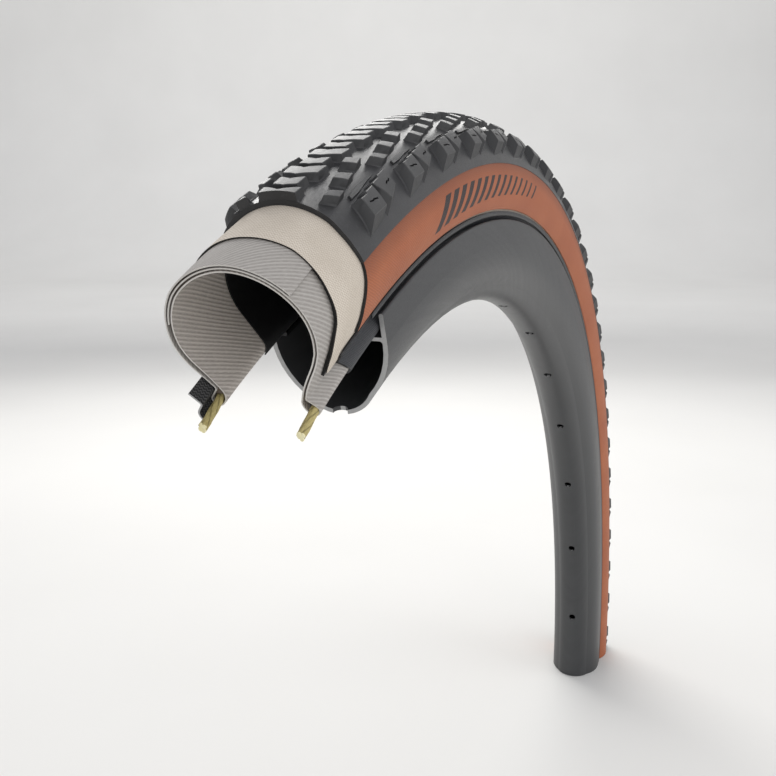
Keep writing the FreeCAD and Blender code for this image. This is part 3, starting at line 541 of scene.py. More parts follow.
def smooth_front(path, table, default):
    """Front angle at each section point by its angle round the section (near side negative)."""
    phi = np.degrees(np.arctan2(path[:, 1], path[:, 0] - R0))
    t = np.asarray(table, float)
    return np.interp(phi, t[:, 0], t[:, 1])


pieces = {}


def add(ob, slot, *nodes):
    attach(ob, "root")
    if nodes:
        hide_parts(*nodes)
    pieces[ob.name] = ob
    return ob


# ------------------------------------------------------------------ casing
CR, CY = W_C
pn, near_b = bead_turn(B_, 0.0)
pf, far_b = bead_turn(C_, 0.12)
near_b = flip(near_b, -1)
mid_run = arc_pts((R0, 0), B_, 81.0, -pn, 110)
inner_run = arc_pts((R0, 0), A_, -PHI_T, PHI_T, 120)
out_run = arc_pts((R0, 0), C_, pf, -50.5, 110)
ply = chain(mid_run, near_b, inner_run, far_b[::-1], out_run)
seg = np.hypot(*np.diff(ply, axis=0).T)
i1 = len(mid_run) - 1 + 14 + 8 + 4 + 20
i2 = len(mid_run) - 1 + len(near_b) - 1 + len(inner_run) - 1 + 24
sign = np.ones(len(seg))
sign[i1:i2] = -1.0
vv = np.concatenate([[0], np.cumsum(seg * sign)]) - 16.075 * math.radians(81.0)
pick = np.zeros(len(seg), int)
pick[i1:i2] = 1
phi_ply = np.degrees(np.arctan2(ply[:, 1], ply[:, 0] - R0))
fr = np.full(len(ply), -26.40)
near_low = (ply[:, 1] < 0) & (ply[:, 0] < 327)
bulge = np.exp(-((ply[:, 0] - 320.5) / 4.0) ** 2)
fr[near_low] -= 0.45 * bulge[near_low]
fr += 0.05 * np.sin(np.radians(phi_ply) * 3.0)
outer_side = offset(ply, -TH / 2)
inner_side = offset(ply, TH / 2)
casing = layer("casing_ply_skin", inner_side, outer_side, fr,
               [M_PLY_OUT, M_PLY_OUT, M_PLY_CUT_LIT, M_PLY_CUT_LIT, M_PLY_IN_PAINTED_LIGHT, M_PLY_IN_PAINTED_LIGHT, M_PLY_CUT_LIT, M_PLY_CUT_LIT],
               vv=vv, pick=pick, free=True)
add(casing, "casing", "casing_ply")


def gum(name, mid, half, front, mat=M_SKIM):
    path = np.asarray(mid)
    return layer(name, offset(path, half), offset(path, -np.asarray(half)), front, [mat] * 4, step=0.9, free=True)


# thin gum between the runs, a little behind their cut edges
g1 = gum("casing_gum_inner", arc_pts((R0, 0), 15.70, -97.0, 80.5, 60), 0.19, -26.22)
g2 = gum("casing_gum_outer", arc_pts((R0, 0), 16.425, -50.0, 80.5, 50), 0.17, -26.22)
g3p = arc_pts((R0, 0), 16.05, 81.5, 115.0, 20)
g3 = gum("casing_gum_far", g3p, 0.53, -26.22)


def y_at(path, r):
    k = np.argsort(path[:, 0])
    return np.interp(r, path[k, 0], np.abs(path[k, 1]))


inner_leg = chain(arc_pts((R0, 0), A_, 92.0, PHI_T, 30), line_pts(OC + OUTW * A_, TOE_C - OUTW * TOR, 10), arc_pts(TOE_C, TOR, PHI_T + 180.0, TOA, 14))
for nm_, rho, pt, bt, r_hi in (("near", B_, pn, flip(near_b, -1), 326.5), ("far", C_, pf, far_b, 323.8)):
    s = -1 if nm_ == "near" else 1
    leg = chain(arc_pts((R0, 0), rho, 92.0, pt, 40), bt[:14 + 8 + 4 + 1])
    rr_ = np.linspace(r_hi, 314.75, 30)
    yo, yi = y_at(leg, rr_) - 0.23, y_at(inner_leg, rr_) + 0.23
    yo = np.maximum(yo, yi + 0.02)
    fil = layer("bead_filler_" + nm_ + "_gum", np.stack([rr_, s * yo], -1), np.stack([rr_, s * yi], -1), -26.25, [M_SKIM] * 4, step=0.9, free=True)
    add(fil, "filler", "bead_filler_" + nm_)
for g in (g1, g2, g3):
    add(g, "casing", "casing_ply")

# ------------------------------------------------------------------ inner liner
lr = TOR + A_ - 14.825
half_l = chain(arc_pts((R0, 0), 14.825, 0.0, PHI_T, 60), line_pts(OC + OUTW * 14.825, TOE_C - OUTW * lr, 10), arc_pts(TOE_C, lr, PHI_T + 180.0, 230.0, 12))
lpath = chain(flip(half_l, -1)[::-1], half_l)
liner = layer("inner_liner_skin", offset(lpath, -0.15), offset(lpath, 0.15), -22.8, [M_LINER] * 4, free=True)
add(liner, "liner", "inner_liner")

# ------------------------------------------------------------------ breaker
bn = flank(-1, 17.225, 318.0, 0.0)
bf = flank(1, 17.225, 318.3, 0.0)
bpath = chain(bn[::-1], bf)
bfront = smooth_front(bpath, [(-130, -25.5), (-118, -25.5), (-107, -25.45), (-100, -25.3), (-92, -25.02), (-85, -24.92), (-70, -24.86),
                              (-55, -24.74), (-33, -24.6), (0, -24.66), (40, -24.55), (180, -24.6)], -24.6)
bfront[:5] += np.array([0.45, 0.26, 0.14, 0.07, 0.03])
breaker = layer("breaker_sheet", offset(bpath, -0.15), offset(bpath, 0.15), bfront, [M_BREAKER, M_BREAKER, M_BREAKER_CUT, M_BREAKER_CUT], free=True)
add(breaker, "breaker_cloth", "breaker")
# black sheet under it on the near flank, where the outer ply run has ended: painted shade filling the gap
gp = flank(-1, 16.62, 318.0, -52.0)
gh = np.full(len(gp), 0.28)
under = layer("breaker_gap_painted_shade", offset(gp, gh), offset(gp, -gh),
              smooth_front(gp, [(-130, -25.42), (-107, -25.35), (-92, -24.9), (-70, -24.75), (-50, -24.6), (0, -24.5)], -24.6), [M_BLACK] * 4, step=0.9, free=True)
add(under, "breaker_cloth", "breaker")

# ------------------------------------------------------------------ tread base
wa = 74.7


def tread_out(phi):
    p = np.radians(phi)
    k = R0 - TC
    b = np.cos(p) * k
    return -b + np.sqrt(b * b - (k * k - TO * TO))


ph = np.linspace(-wa, wa, 120)
to_ = tread_out(ph)
outer = np.stack([R0 + to_ * np.cos(np.radians(ph)), to_ * np.sin(np.radians(ph))], -1)
inner = arc_pts((R0, 0), 17.45, -wa, wa, 120)
tfront = np.interp(ph, [-75, -62, -50, -38, 0, 75], [-22.22, -22.30, -22.30, -22.2, -22.15, -22.2])
tread = layer("tread_base_skin", outer, inner, tfront, [M_BASE, M_CUT, M_CUT, M_CUT], step=0.75)
add(tread, "tread_rubber", "tread_base")

# ------------------------------------------------------------------ sidewalls
for nm_, s in (("near", -1), ("far", 1)):
    po = flank(1, 18.15, 320.1, 74.75, 50, 12)
    pi2 = flank(1, 17.45, 320.45, 74.75, 50, 12)
    d_ = np.concatenate([[0], np.cumsum(np.hypot(*np.diff(po, axis=0).T))])
    v_ = math.radians(74.75) * 18.15 + d_
    ao = np.degrees(v_ / 18.15)
    # rounded lower lip
    po[-4:] -= OUTW * np.array([[0.02], [0.06], [0.15], [0.32]])
    o, i_ = flip(po, s), flip(pi2, s)
    f_ = np.interp(ao, [74, 81, 87, 96, 104, 115, 127], [-22.21, -22.27, -22.37, -22.62, -22.85, -22.95, -22.95])
    sw = layer("sidewall_" + nm_ + "_skin", o, i_, f_, [M_TAN, M_BLACK, M_BLACK, M_TAN], vv=v_, step=0.75)
    add(sw, "tan_rubber", "sidewall_" + nm_)

# ------------------------------------------------------------------ chafers and rim strips
for nm_, s in (("near", -1), ("far", 1)):
    rc = 1.95
    cv = LIFT + UP_L * 2.0 + cs(LA) * 0.60
    ctop = np.array([319.5, 14.50]) if s < 0 else np.array([318.85, 14.35])
    d = cv - W_C
    ga = math.degrees(math.atan2(d[1], d[0])) + math.degrees(math.acos(rc / np.hypot(*d)))
    cg = W_C + cs(ga) * rc
    fl = round_corner(ctop, cv, cg, 0.60)
    end = 190.0 if s < 0 else 152.0
    path = flip(chain(line_pts(ctop, fl[0], 6), fl, line_pts(fl[-1], cg, 8), arc_pts(W_C, rc, ga, end, 16)), s)
    r_ = path[:, 0]
    if s < 0:
        f_ = np.interp(r_, [311.3, 313.0, 313.9, 315.0, 316.2, 317.5, 318.8, 319.6], [-23.45, -23.55, -23.74, -23.84, -24.02, -24.22, -24.30, -24.10])
        mats = [M_CHAFER_NEAR, M_CHAFER_NEAR, M_CHAFER_CUT, M_CHAFER_CUT]
    else:
        f_ = np.full(len(path), -27.3)
        mats = [M_CHAFER, M_CHAFER, M_CHAFER_CUT, M_CHAFER_CUT]
    cut = [M_CHAFER_CUT, M_STRIP] if s > 0 else [M_STRIP, M_STRIP]
    mats[2] = cut[0]
    mats[3] = cut[1]
    ch = layer("chafer_" + nm_ + "_cloth", offset(path, -s * 0.22), offset(path, s * 0.22), f_, mats, step=1.0)
    add(ch, "chafer_cloth", "chafer_" + nm_)
    # rim strip: a rounded rib that sits on the flange
    q = chain(line_pts((319.35, s * 14.46), (318.2, s * 14.2), 6), line_pts((318.2, s * 14.2), (318.15, s * 14.66), 5))
    rib = [(319.38, s * 14.50), (318.9, s * 14.32), (318.35, s * 14.2), (318.17, s * 14.28), (318.14, s * 14.5), (318.22, s * 14.72),
           (318.55, s * 14.93), (319.0, s * 15.10), (319.4, s * 15.10), (319.68, s * 14.99), (319.70, s * 14.80), (319.55, s * 14.60)]
    rib = np.array(rib)
    n = len(rib)
    f0 = -21.2
    th = np.concatenate([[f0 - 0.0, f0 + 0.06, f0 + 0.16], np.arange(f0 + 0.9, 90.0, 0.9), [90.0]])
    scale = np.concatenate([[0.55, 0.85, 1.0], np.ones(len(th) - 3)])
    cen = rib.mean(0)
    vs, uvs = [], []
    for k in range(len(th)):
        sec = cen + (rib - cen) * scale[k]
        vs.append(world(np.full(n, th[k]), sec[:, 0], sec[:, 1]))
        uvs.append(np.stack([np.full(n, math.radians(th[k]) * 319), np.arange(n) * 0.3], -1))
    fs = []
    for k in range(len(th) - 1):
        for j in range(n):
            fs.append((k * n + j, k * n + (j + 1) % n, (k + 1) * n + (j + 1) % n, (k + 1) * n + j))
    V = np.concatenate(vs)
    U = np.concatenate(uvs)
    base = len(V)
    V = np.concatenate([V, vs[0].mean(0)[None], vs[-1].mean(0)[None]])
    U = np.concatenate([U, [[0, 0], [0, 0]]])
    for j in range(n):
        fs.append((base, (j + 1) % n, j, j))
        fs.append((base + 1, (len(th) - 1) * n + j, (len(th) - 1) * n + (j + 1) % n, (len(th) - 1) * n + j))
    fs = [tuple(dict.fromkeys(f)) for f in fs]
    st = make("rim_strip_" + nm_ + "_rib", V, fs, [M_STRIP], None, U, sharp=50)
    add(st, "strip_rubber", "rim_strip_" + nm_)

# ------------------------------------------------------------------ bead cores: twisted strands
for nm_, s in (("near", -1), ("far", 1)):
    n = 60
    lobes = 4
    th = np.concatenate([[-28.02, -28.0, -27.96], np.arange(-27.9, 90.0, 0.35), [90.0]])
    psi = np.linspace(0, 2 * math.pi, n, endpoint=False)
    vs, uvs = [], []
    for k, t in enumerate(th):
        arc = math.radians(t + 28.0) * CR
        tw = arc * 2 * math.pi / 19.0 * s + 0.5
        rad = 0.64 + 0.45 * np.abs(np.cos(lobes / 2.0 * (psi - tw))) ** 0.45
        rad = np.minimum(rad, 1.09)
        if k == 0:
            rad = rad * 0.93
        elif k == 1:
            rad = rad * 0.98
        dt = np.zeros(n)
        if k < 3:
            # strands cut to slightly different lengths, and on the slant
            lob = np.floor((psi - tw) / (2 * math.pi) * lobes + 0.5) % lobes
            dt = 0.05 + 0.035 * np.sin(lob * 2.4 + s) + 0.04 * np.cos(psi - 0.6)
        free = min(1.0, max(0.0, (-25.9 - t) / 1.7))
        er, ey = ((-0.2, -0.35) if s < 0 else (-0.6, -0.45))
        vs.append(world(t + dt, CR + er * free + rad * np.cos(psi), s * CY + ey * free + rad * np.sin(psi)))
        uvs.append(np.stack([np.full(n, arc), (psi - tw) * 1.1], -1))
    fs, fm = [], []
    for k in range(len(th) - 1):
        for j in range(n):
            fs.append((k * n + j, k * n + (j + 1) % n, (k + 1) * n + (j + 1) % n, (k + 1) * n + j))
            fm.append(1 if k < 2 else 0)
    V = np.concatenate(vs)
    U = np.concatenate(uvs)
    base = len(V)
    c0 = vs[0].mean(0)
    V = np.concatenate([V, [c0], [vs[-1].mean(0)]])
    U = np.concatenate([U, [[0, 0], [0, 0]]])
    for j in range(n):
        fs.append((base, (j + 1) % n, j))
        fm.append(1)
        fs.append((base + 1, (len(th) - 1) * n + j, (len(th) - 1) * n + (j + 1) % n))
        fm.append(1)
    core = make("bead_core_" + nm_ + "_strands", V, fs, [M_STRAND, M_STRAND_CUT], fm, U, sharp=60)
    add(core, "bead_strand", "bead_core_" + nm_)


# ------------------------------------------------------------------ tread blocks
def interp_edge(pts, fr, t):
    p = np.asarray(pts, float)
    return np.stack([np.interp(t, fr, p[:, 0]), np.interp(t, fr, p[:, 1])], -1)


def patch(E0, E1, fr0, fr1, a, b):
    p0 = interp_edge(E0, fr0, b)
    p1 = interp_edge(E1, fr1, b)
    a = np.asarray(a)[:, None]
    return p0 * (1 - a) + p1 * a


def rho_of(p):
    r = np.hypot(p[:, 0], p[:, 2])
    return np.hypot(r - R0, p[:, 1]), np.degrees(np.arctan2(p[:, 1], r - R0))


def block(name, top, foot, fr, rho_top, bev=0.17, na=5, nb=9, lift=0.0, floor=17.3, flare=0.22):
    """A tapered block between two edge lines, with a chamfered top edge and a small fillet at its foot.
    top and foot: (edge line 0, edge line 1), each a list of (theta, phi)."""
    fr0, fr1 = fr
    bs = np.array(sorted(set(np.round(np.concatenate([np.linspace(0, 1, nb), fr0, fr1]), 5))))
    as_ = np.linspace(0, 1, na)
    nb = len(bs)
    A, B = np.meshgrid(as_, bs, indexing="ij")
    pts = patch(top[0], top[1], fr0, fr1, A.ravel(), B.ravel())
    w3 = torus(pts[:, 0], pts[:, 1], rho_top).reshape(na, nb, 3)
    wa_ = np.linalg.norm(w3[-1] - w3[0], axis=-1).mean()
    wb_ = np.linalg.norm(w3[:, -1] - w3[:, 0], axis=-1).mean()
    da, db = min(0.3, bev / wa_), min(0.3, bev / wb_)
    Ai, Bi = da + (1 - 2 * da) * A, db + (1 - 2 * db) * B
    pin = patch(top[0], top[1], fr0, fr1, Ai.ravel(), Bi.ravel())
    T = torus(pin[:, 0], pin[:, 1], rho_top)
    idx = np.arange(na * nb).reshape(na, nb)
    loop = np.concatenate([idx[:, 0], idx[-1, 1:], idx[-2::-1, -1], idx[0, -2:0:-1]])
    ab = np.stack([A.ravel()[loop], B.ravel()[loop]], -1)
    r1 = patch(top[0], top[1], fr0, fr1, ab[:, 0], ab[:, 1])
    ring1 = torus(r1[:, 0], r1[:, 1], rho_top - bev)
    rf = patch(foot[0], foot[1], fr0, fr1, ab[:, 0], ab[:, 1])
    ringf = torus(rf[:, 0], rf[:, 1], floor)
    lo, hi = np.zeros(len(loop)), np.ones(len(loop))
    for _ in range(30):
        m_ = 0.5 * (lo + hi)
        p = ring1 * (1 - m_[:, None]) + ringf * m_[:, None]
        rho, phi = rho_of(p)
        up = rho > tread_out(phi)
        lo = np.where(up, m_, lo)
        hi = np.where(up, hi, m_)
    ts = lo
    L = np.linalg.norm(ringf - ring1, axis=-1)
    t2 = np.clip(ts - 0.32 / L, 0.02, 1)
    ring2 = ring1 * (1 - t2[:, None]) + ringf * t2[:, None]
    ring3 = ring1 * (1 - ts[:, None]) + ringf * ts[:, None]
    cen = ring3.mean(0)
    out = ring3 - cen
    rad = ring3.copy()
    rr = np.hypot(ring3[:, 0], ring3[:, 2])
    nrm = np.stack([ring3[:, 0] / rr * (rr - R0), ring3[:, 1], ring3[:, 2] / rr * (rr - R0)], -1)
    nrm /= np.linalg.norm(nrm, axis=-1)[:, None]
    out -= nrm * np.sum(out * nrm, -1)[:, None]
    out /= np.linalg.norm(out, axis=-1)[:, None]
    ring3 = ring3 + out * flare - nrm * 0.02
    ring4 = ring3 - nrm * 0.35
    n0, nl = na * nb, len(loop)
    V = np.concatenate([T, ring1, ring2, ring3, ring4])
    F, fm = [], []
    for i in range(na - 1):
        for j in range(nb - 1):
            F.append((idx[i, j], idx[i, j + 1], idx[i + 1, j + 1], idx[i + 1, j]))
            fm.append(1)
    rings = [loop, n0 + np.arange(nl), n0 + nl + np.arange(nl), n0 + 2 * nl + np.arange(nl), n0 + 3 * nl + np.arange(nl)]
    for q in range(4):
        for j in range(nl):
            j2 = (j + 1) % nl
            F.append((rings[q][j], rings[q][j2], rings[q + 1][j2], rings[q + 1][j]))
            fm.append(1 if q == 0 else 0)
    F.append(tuple(rings[4]))
    fm.append(0)
    return V, F, fm


def turn(V, a):
    c, s = math.cos(math.radians(a)), math.sin(math.radians(a))
    return np.stack([V[:, 0] * c + V[:, 2] * s, V[:, 1], -V[:, 0] * s + V[:, 2] * c], -1)


def cut_sipe(V, F, fm, line, width, depth, rho_top):
    """Cut a narrow zigzag sipe into the block's top."""
    me = bpy.data.meshes.new("t")
    me.from_pydata(V.tolist(), [], [tuple(int(q) for q in f) for f in F])
    me.polygons.foreach_set("material_index", np.asarray(fm, np.int32))
    me.materials.append(M_SIDE_PAINTED_SHADE)
    me.materials.append(M_TOP_PAINTED_LIT)
    bm = bmesh.new(); bm.from_mesh(me)
    bmesh.ops.recalc_face_normals(bm, faces=bm.faces)
    bm.to_mesh(me); bm.free()
    ob = bpy.data.objects.new("t", me)
    scene.collection.objects.link(ob)
    P = np.array([torus(t, p, rho_top) for t, p in line])
    mid = P.mean(0)
    rr = math.hypot(mid[0], mid[2])
    up = np.array([mid[0] / rr * (rr - R0), mid[1], mid[2] / rr * (rr - R0)])
    up /= np.linalg.norm(up)
    L, Rr = [], []
    for k in range(len(P)):
        a = P[max(0, k - 1)]
        b = P[min(len(P) - 1, k + 1)]
        d = b - a
        d -= up * d.dot(up)
        d /= np.linalg.norm(d)
        nn = np.cross(up, d)
        L.append(P[k] + nn * width / 2)
        Rr.append(P[k] - nn * width / 2)
    ring = np.array(L + Rr[::-1])
    n = len(ring)
    V2 = np.concatenate([ring + up * 1.0, ring - up * depth])
    F2 = [tuple(range(n)), tuple(range(2 * n - 1, n - 1, -1))] + [(k, n + k, n + (k + 1) % n, (k + 1) % n) for k in range(n)]
    me2 = bpy.data.meshes.new("c")
    me2.from_pydata(V2.tolist(), [], F2)
    me2.materials.append(M_SIDE_PAINTED_SHADE)
    bm = bmesh.new(); bm.from_mesh(me2)
    bmesh.ops.recalc_face_normals(bm, faces=bm.faces)
    bm.to_mesh(me2); bm.free()
    ob2 = bpy.data.objects.new("c", me2)
    scene.collection.objects.link(ob2)
    md = ob.modifiers.new("b", "BOOLEAN")
    md.operation = "DIFFERENCE"
    md.solver = "EXACT"
    md.object = ob2
    dg = bpy.context.evaluated_depsgraph_get()
    me3 = bpy.data.meshes.new_from_object(ob.evaluated_get(dg))
    V3 = np.array([v.co[:] for v in me3.vertices])
    F3 = [tuple(p.vertices) for p in me3.polygons]
    m3 = [min(p.material_index, 1) for p in me3.polygons]
    for o in (ob, ob2):
        bpy.data.objects.remove(o)
    return V3, F3, m3


CUT = -22.15


def clip(V, F, fm, front, low):
    """Trim a block at the cut end and at the lower end, and close it."""
    me = bpy.data.meshes.new("t")
    me.from_pydata(V.tolist(), [], [tuple(int(q) for q in f) for f in F])
    me.polygons.foreach_set("material_index", np.asarray(fm, np.int32))
    bm = bmesh.new(); bm.from_mesh(me)
    bmesh.ops.recalc_face_normals(bm, faces=bm.faces)
    planes = []
    if front:
        a = math.radians(CUT)
        planes.append((Vector((0, 0, 0)), Vector((-math.cos(a), 0, math.sin(a)))))
    if low:
        planes.append((Vector((0, 0, 0)), Vector((0, 0, -1))))
    for co, no in planes:
        geom = bm.verts[:] + bm.edges[:] + bm.faces[:]
        r = bmesh.ops.bisect_plane(bm, geom=geom, plane_co=co, plane_no=no, clear_outer=True, dist=1e-5)
        edges = [e for e in r["geom_cut"] if isinstance(e, bmesh.types.BMEdge)]
        if edges:
            f = bmesh.ops.triangle_fill(bm, edges=edges, use_beauty=True)
            for q in f["geom"]:
                if isinstance(q, bmesh.types.BMFace):
                    q.material_index = 0
    bm.to_mesh(me)
    bm.free()
    V3 = np.array([v.co[:] for v in me.vertices]).reshape(-1, 3)
    return V3, [tuple(p.vertices) for p in me.polygons], [p.material_index for p in me.polygons]


def row(name, blocks, slot, *nodes):
    """blocks: list of (V, F, fm, first, step). Copies them round the tyre into one object of closed blocks."""
    Vs, Fs, Ms, n0 = [], [], [], 0
    for V, F, fm, first, step in blocks:
        th = np.degrees(np.arctan2(V[:, 0], V[:, 2]))
        lo, hi = th.min(), th.max()
        k = -4
        while first + k * step < 93.0:
            a = first + k * step
            k += 1
            if a + hi <= CUT + 0.08 or a + lo >= 90.0 - 0.05:
                continue
            W, G, gm = turn(V, a), F, fm
            if a + lo < CUT or a + hi > 90.0:
                W, G, gm = clip(W, F, fm, a + lo < CUT, a + hi > 90.0)
                if not len(G):
                    continue
                left = np.degrees(np.arctan2(W[:, 0], W[:, 2]))
                if left.max() - left.min() < 0.32 * (hi - lo):
                    continue
            Vs.append(W)
            Fs += [tuple(int(q) + n0 for q in f) for f in G]
            Ms += list(gm)
            n0 += len(W)
    ob = make(name, np.concatenate(Vs), Fs, [M_SIDE_PAINTED_SHADE, M_TOP_PAINTED_LIT], Ms, None, sharp=24)
    return add(ob, slot, *nodes)


H3 = (0.0, 0.5, 1.0)
wide = block("w", ([(-0.40, 12.2), (-0.74, 0), (-0.40, -12.2)], [(0.42, 12.8), (0.0, 0), (0.42, -12.8)]),
             ([(-0.50, 15.0), (-0.86, 0), (-0.50, -15.0)], [(0.46, 15.6), (0.05, 0), (0.46, -15.6)]), (H3, H3), 20.70, na=4, nb=13)
narrow = block("n", ([(-0.38, 8.3), (-0.54, 0), (-0.38, -8.3)], [(0.38, 8.6), (0.10, 0), (0.38, -8.6)]),
               ([(-0.42, 11.0), (-0.58, 0), (-0.42, -11.0)], [(0.50, 11.4), (0.22, 0), (0.50, -11.4)]), (H3, H3), 20.70, na=4, nb=11)
row("centre_bars_wide_blocks", [wide + (-19.75, 2.25)], "tread_rubber", "centre_bars_wide")
row("centre_bars_narrow_blocks", [narrow + (-18.80, 2.25)], "tread_rubber", "centre_bars_narrow")

TR = [([(-0.47, 26.8), (0.02, 26.5), (0.52, 33.8), (-0.02, 34.6)], -21.17),
      ([(-0.45, 22.2), (0.05, 21.2), (0.55, 29.1), (-0.10, 30.4)], -19.71),
      ([(-0.45, 17.2), (0.08, 16.0), (0.57, 23.9), (-0.08, 25.7)], -18.21)]
SA_T = ([(-20.52, 44.3), (-20.00, 44.4), (-19.93, 43.2), (-19.28, 42.8)], [(-20.66, 57.0), (-19.45, 57.6)])
SA_F = ([(-20.72, 41.5), (-20.05, 41.5), (-19.95, 40.6), (-19.22, 40.2)], [(-21.15, 72.3), (-19.30, 66.5)])
SB_T = ([(-19.10, 42.0), (-18.45, 41.6), (-18.38, 40.3), (-17.70, 39.9)], [(-18.75, 57.0), (-17.77, 51.8)])
SB_F = ([(-19.14, 39.3), (-18.45, 38.9), (-18.35, 37.6), (-17.42, 37.2)], [(-19.15, 69.5), (-17.42, 59.5)])
PAD = ([(-20.32, 36.5), (-19.80, 35.6), (-18.43, 35.6), (-18.00, 36.4)], [(-20.40, 39.7), (-19.62, 39.5), (-18.95, 37.9), (-18.00, 36.6)])
FS = ((0.0, 0.42, 0.48, 1.0), (0.0, 1.0))
FP = ((0.0, 0.25, 0.75, 1.0), (0.0, 0.33, 0.62, 1.0))
MID = -19.2


def mir(poly, s, dt=0.0):
    return [(t + dt, s * p) for t, p in poly]


def grown(poly, dt, dp):
    ct = sum(q[0] for q in poly) / len(poly)
    cp = sum(q[1] for q in poly) / len(poly)
    return [(t + math.copysign(dt, t - ct), p + math.copysign(dp, p - cp)) for t, p in poly]


for nm_, s, sh in (("near", -1, 0.0), ("far", 1, 2.05)):
    bl = []
    for poly, cen in TR:
        c0, c1, c2, c3 = mir(poly, s)
        g0, g1_, g2_, g3_ = mir(grown(poly, 0.20, 1.5), s)
        bl.append(block("t", ([c0, c3], [c1, c2]), ([g0, g3_], [g1_, g2_]), ((0.0, 1.0), (0.0, 1.0)), 20.70, na=4, nb=7) + (cen + sh, 4.5))
    row("transition_blocks_%s_blocks" % nm_, bl, "tread_rubber", "transition_blocks_" + nm_)
    A_t = (mir(SA_T[0], s, -MID), mir(SA_T[1], s, -MID))
    A_f = (mir(SA_F[0], s, -MID), mir(SA_F[1], s, -MID))
    B_t = (mir(SB_T[0], s, -MID), mir(SB_T[1], s, -MID))
    B_f = (mir(SB_F[0], s, -MID), mir(SB_F[1], s, -MID))
    ka = block("a", A_t, A_f, FS, 21.25, na=9, nb=13)
    kb = block("b", B_t, B_f, FS, 21.12, na=9, nb=13)
    sa = [(-20.31 - MID, s * 49.2), (-20.03 - MID, s * 50.1), (-19.98 - MID, s * 49.6), (-19.66 - MID, s * 50.9)]
    sb = [(-18.40 - MID, s * 48.2), (-18.22 - MID, s * 47.0), (-18.10 - MID, s * 47.6), (-17.93 - MID, s * 46.3)]
    ka = cut_sipe(*ka, sa, 0.42, 1.1, 21.25)
    kb = cut_sipe(*kb, sb, 0.42, 1.1, 21.12)
    row("shoulder_knobs_%s_blocks" % nm_, [ka + (MID + sh, 4.5), kb + (MID + sh, 4.5)], "tread_rubber", "shoulder_knobs_" + nm_)
    P_t = (mir(PAD[0], s, -MID), mir(PAD[1], s, -MID))
    P_f = (mir([(t, p - (0.5 if s else 0)) for t, p in PAD[0]], s, -MID), mir([(t, p + 0.5) for t, p in PAD[1]], s, -MID))
    pad = block("p", (P_t[0], P_t[1]), (P_f[0], P_f[1]), FP, 19.12, bev=0.08, na=4, nb=13, flare=0.08)
    row("shoulder_ledges_%s_pads" % nm_, [pad + (MID + sh, 4.5)], "tread_rubber", "shoulder_ledges_" + nm_)

# ------------------------------------------------------------------ CAD nodes that stay
for nme, mt in (("rim", M_RIM), ("rim_tape", M_TAPE)):
    ob = frame["nodes"][nme]
    if not len(ob.material_slots):
        ob.data.materials.append(mt)
    for sl in ob.material_slots:
        sl.material = mt

# ------------------------------------------------------------------ floor, light, camera
def pale(name, c):
    t = Tree(name)
    p = t.obj()
    n = t.noise(p, 3.0, 3.0)
    f = t.noise(p, 180.0, 3.0)
    col = t.mix(t.remap(n, 0.3, 0.7, 0.0, 1.0), lin(*c), lin(*[min(255, q + 4) for q in c]))
    return t.finish(col, t.remap(f, 0.3, 0.7, 0.62, 0.72), t.bump(f, 0.0002, 0.2), Specular_IOR_Level=0.2)


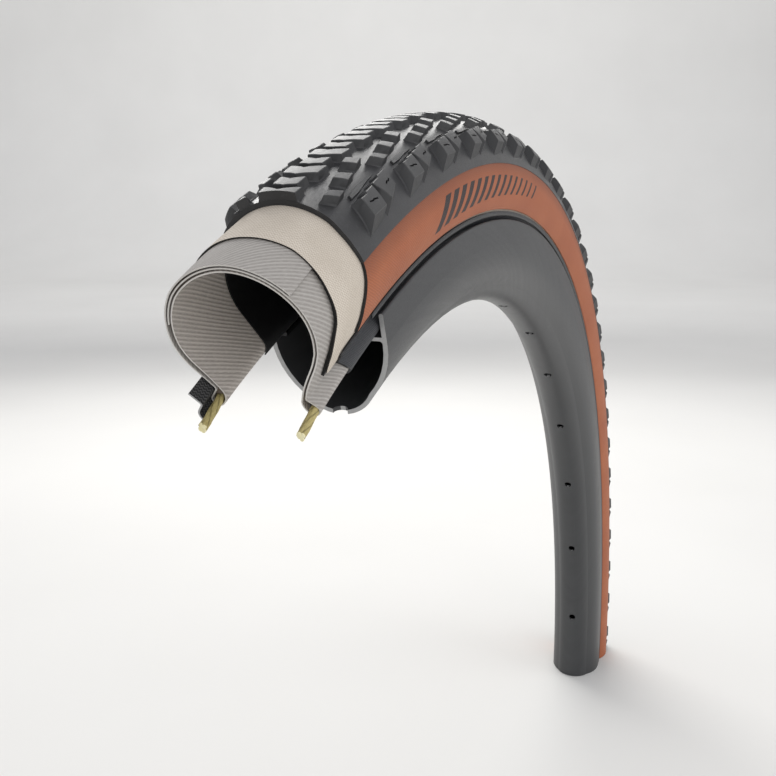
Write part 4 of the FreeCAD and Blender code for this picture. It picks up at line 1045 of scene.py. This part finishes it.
bm = bmesh.new()
prof = []
for k in range(13):
    a = math.radians(90 * k / 12.0)
    prof.append((3.4 + 1.2 * math.sin(a), 1.2 - 1.2 * math.cos(a)))
prof = [(-4.0, 0.0)] + prof + [(4.6, 5.0)]
rows = []
fwd2 = Vector((0.934, 0.3573, 0)).normalized()
sd2 = Vector((-fwd2.y, fwd2.x, 0))
for d, h in prof:
    rows.append([bm.verts.new(fwd2 * d + sd2 * w_ + Vector((0, 0, h - 0.0002))) for w_ in (-6.0, 6.0)])
for k in range(len(rows) - 1):
    bm.faces.new((rows[k][0], rows[k][1], rows[k + 1][1], rows[k + 1][0]))
me = bpy.data.meshes.new("studio_floor")
bm.to_mesh(me); bm.free()
me.materials.append(pale("pale_floor", (226, 225, 222)))
me.shade_smooth()
floor = bpy.data.objects.new("studio_floor", me)
scene.collection.objects.link(floor)

w = bpy.data.worlds.new("studio") if not scene.world else scene.world
scene.world = w
w.use_nodes = True
bg = w.node_tree.nodes.get("Background") or w.node_tree.nodes.new("ShaderNodeBackground")
bg.inputs[0].default_value = (0.95, 0.96, 1.0, 1)
bg.inputs[1].default_value = 0.62


def area(name, loc, target, size, power, col=(1, 1, 1), size_y=None):
    l = bpy.data.lights.new(name, "AREA")
    l.energy = power
    l.size = size
    l.color = col
    if size_y:
        l.shape = "RECTANGLE"
        l.size_y = size_y
    o = bpy.data.objects.new(name, l)
    o.location = loc
    o.rotation_euler = (Vector(target) - Vector(loc)).to_track_quat("-Z", "Y").to_euler()
    scene.collection.objects.link(o)
    return o


area("key_back", (0.95, 0.50, 1.05), (0.0, 0.0, 0.33), 1.1, 13.5, (1.0, 0.99, 0.97))
area("fill_left", (-0.9, -0.6, 0.75), (0.0, 0.0, 0.3), 0.9, 3.0)
area("side", (0.35, -1.5, 0.55), (0.1, 0.0, 0.2), 1.2, 6.0)
area("backdrop_wash", tuple(fwd2 * 1.9 + Vector((0, 0, 2.1))), tuple(fwd2 * 4.6 + Vector((0, 0, 1.5))), 3.0, 36.0, (1, 1, 1), 1.6)

cam_d = bpy.data.cameras.new("camera")
cam = bpy.data.objects.new("camera", cam_d)
scene.collection.objects.link(cam)
Rt = Vector((0.3573, -0.934, 0.0)).normalized()
Fw = Vector((0.9156, 0.3502, -0.1977)).normalized()
Up = Rt.cross(Fw).normalized()
mw = Matrix(((Rt.x, Up.x, -Fw.x, -0.30877), (Rt.y, Up.y, -Fw.y, -0.09266), (Rt.z, Up.z, -Fw.z, 0.32288), (0, 0, 0, 1)))
cam.matrix_world = mw
cam_d.sensor_width = 36.0
cam_d.lens = 925.67 / 776.0 * 36.0
cam_d.clip_start = 0.01
cam_d.clip_end = 50.0
scene.camera = cam
scene.view_settings.view_transform = "Standard"

bpy.context.view_layer.update()
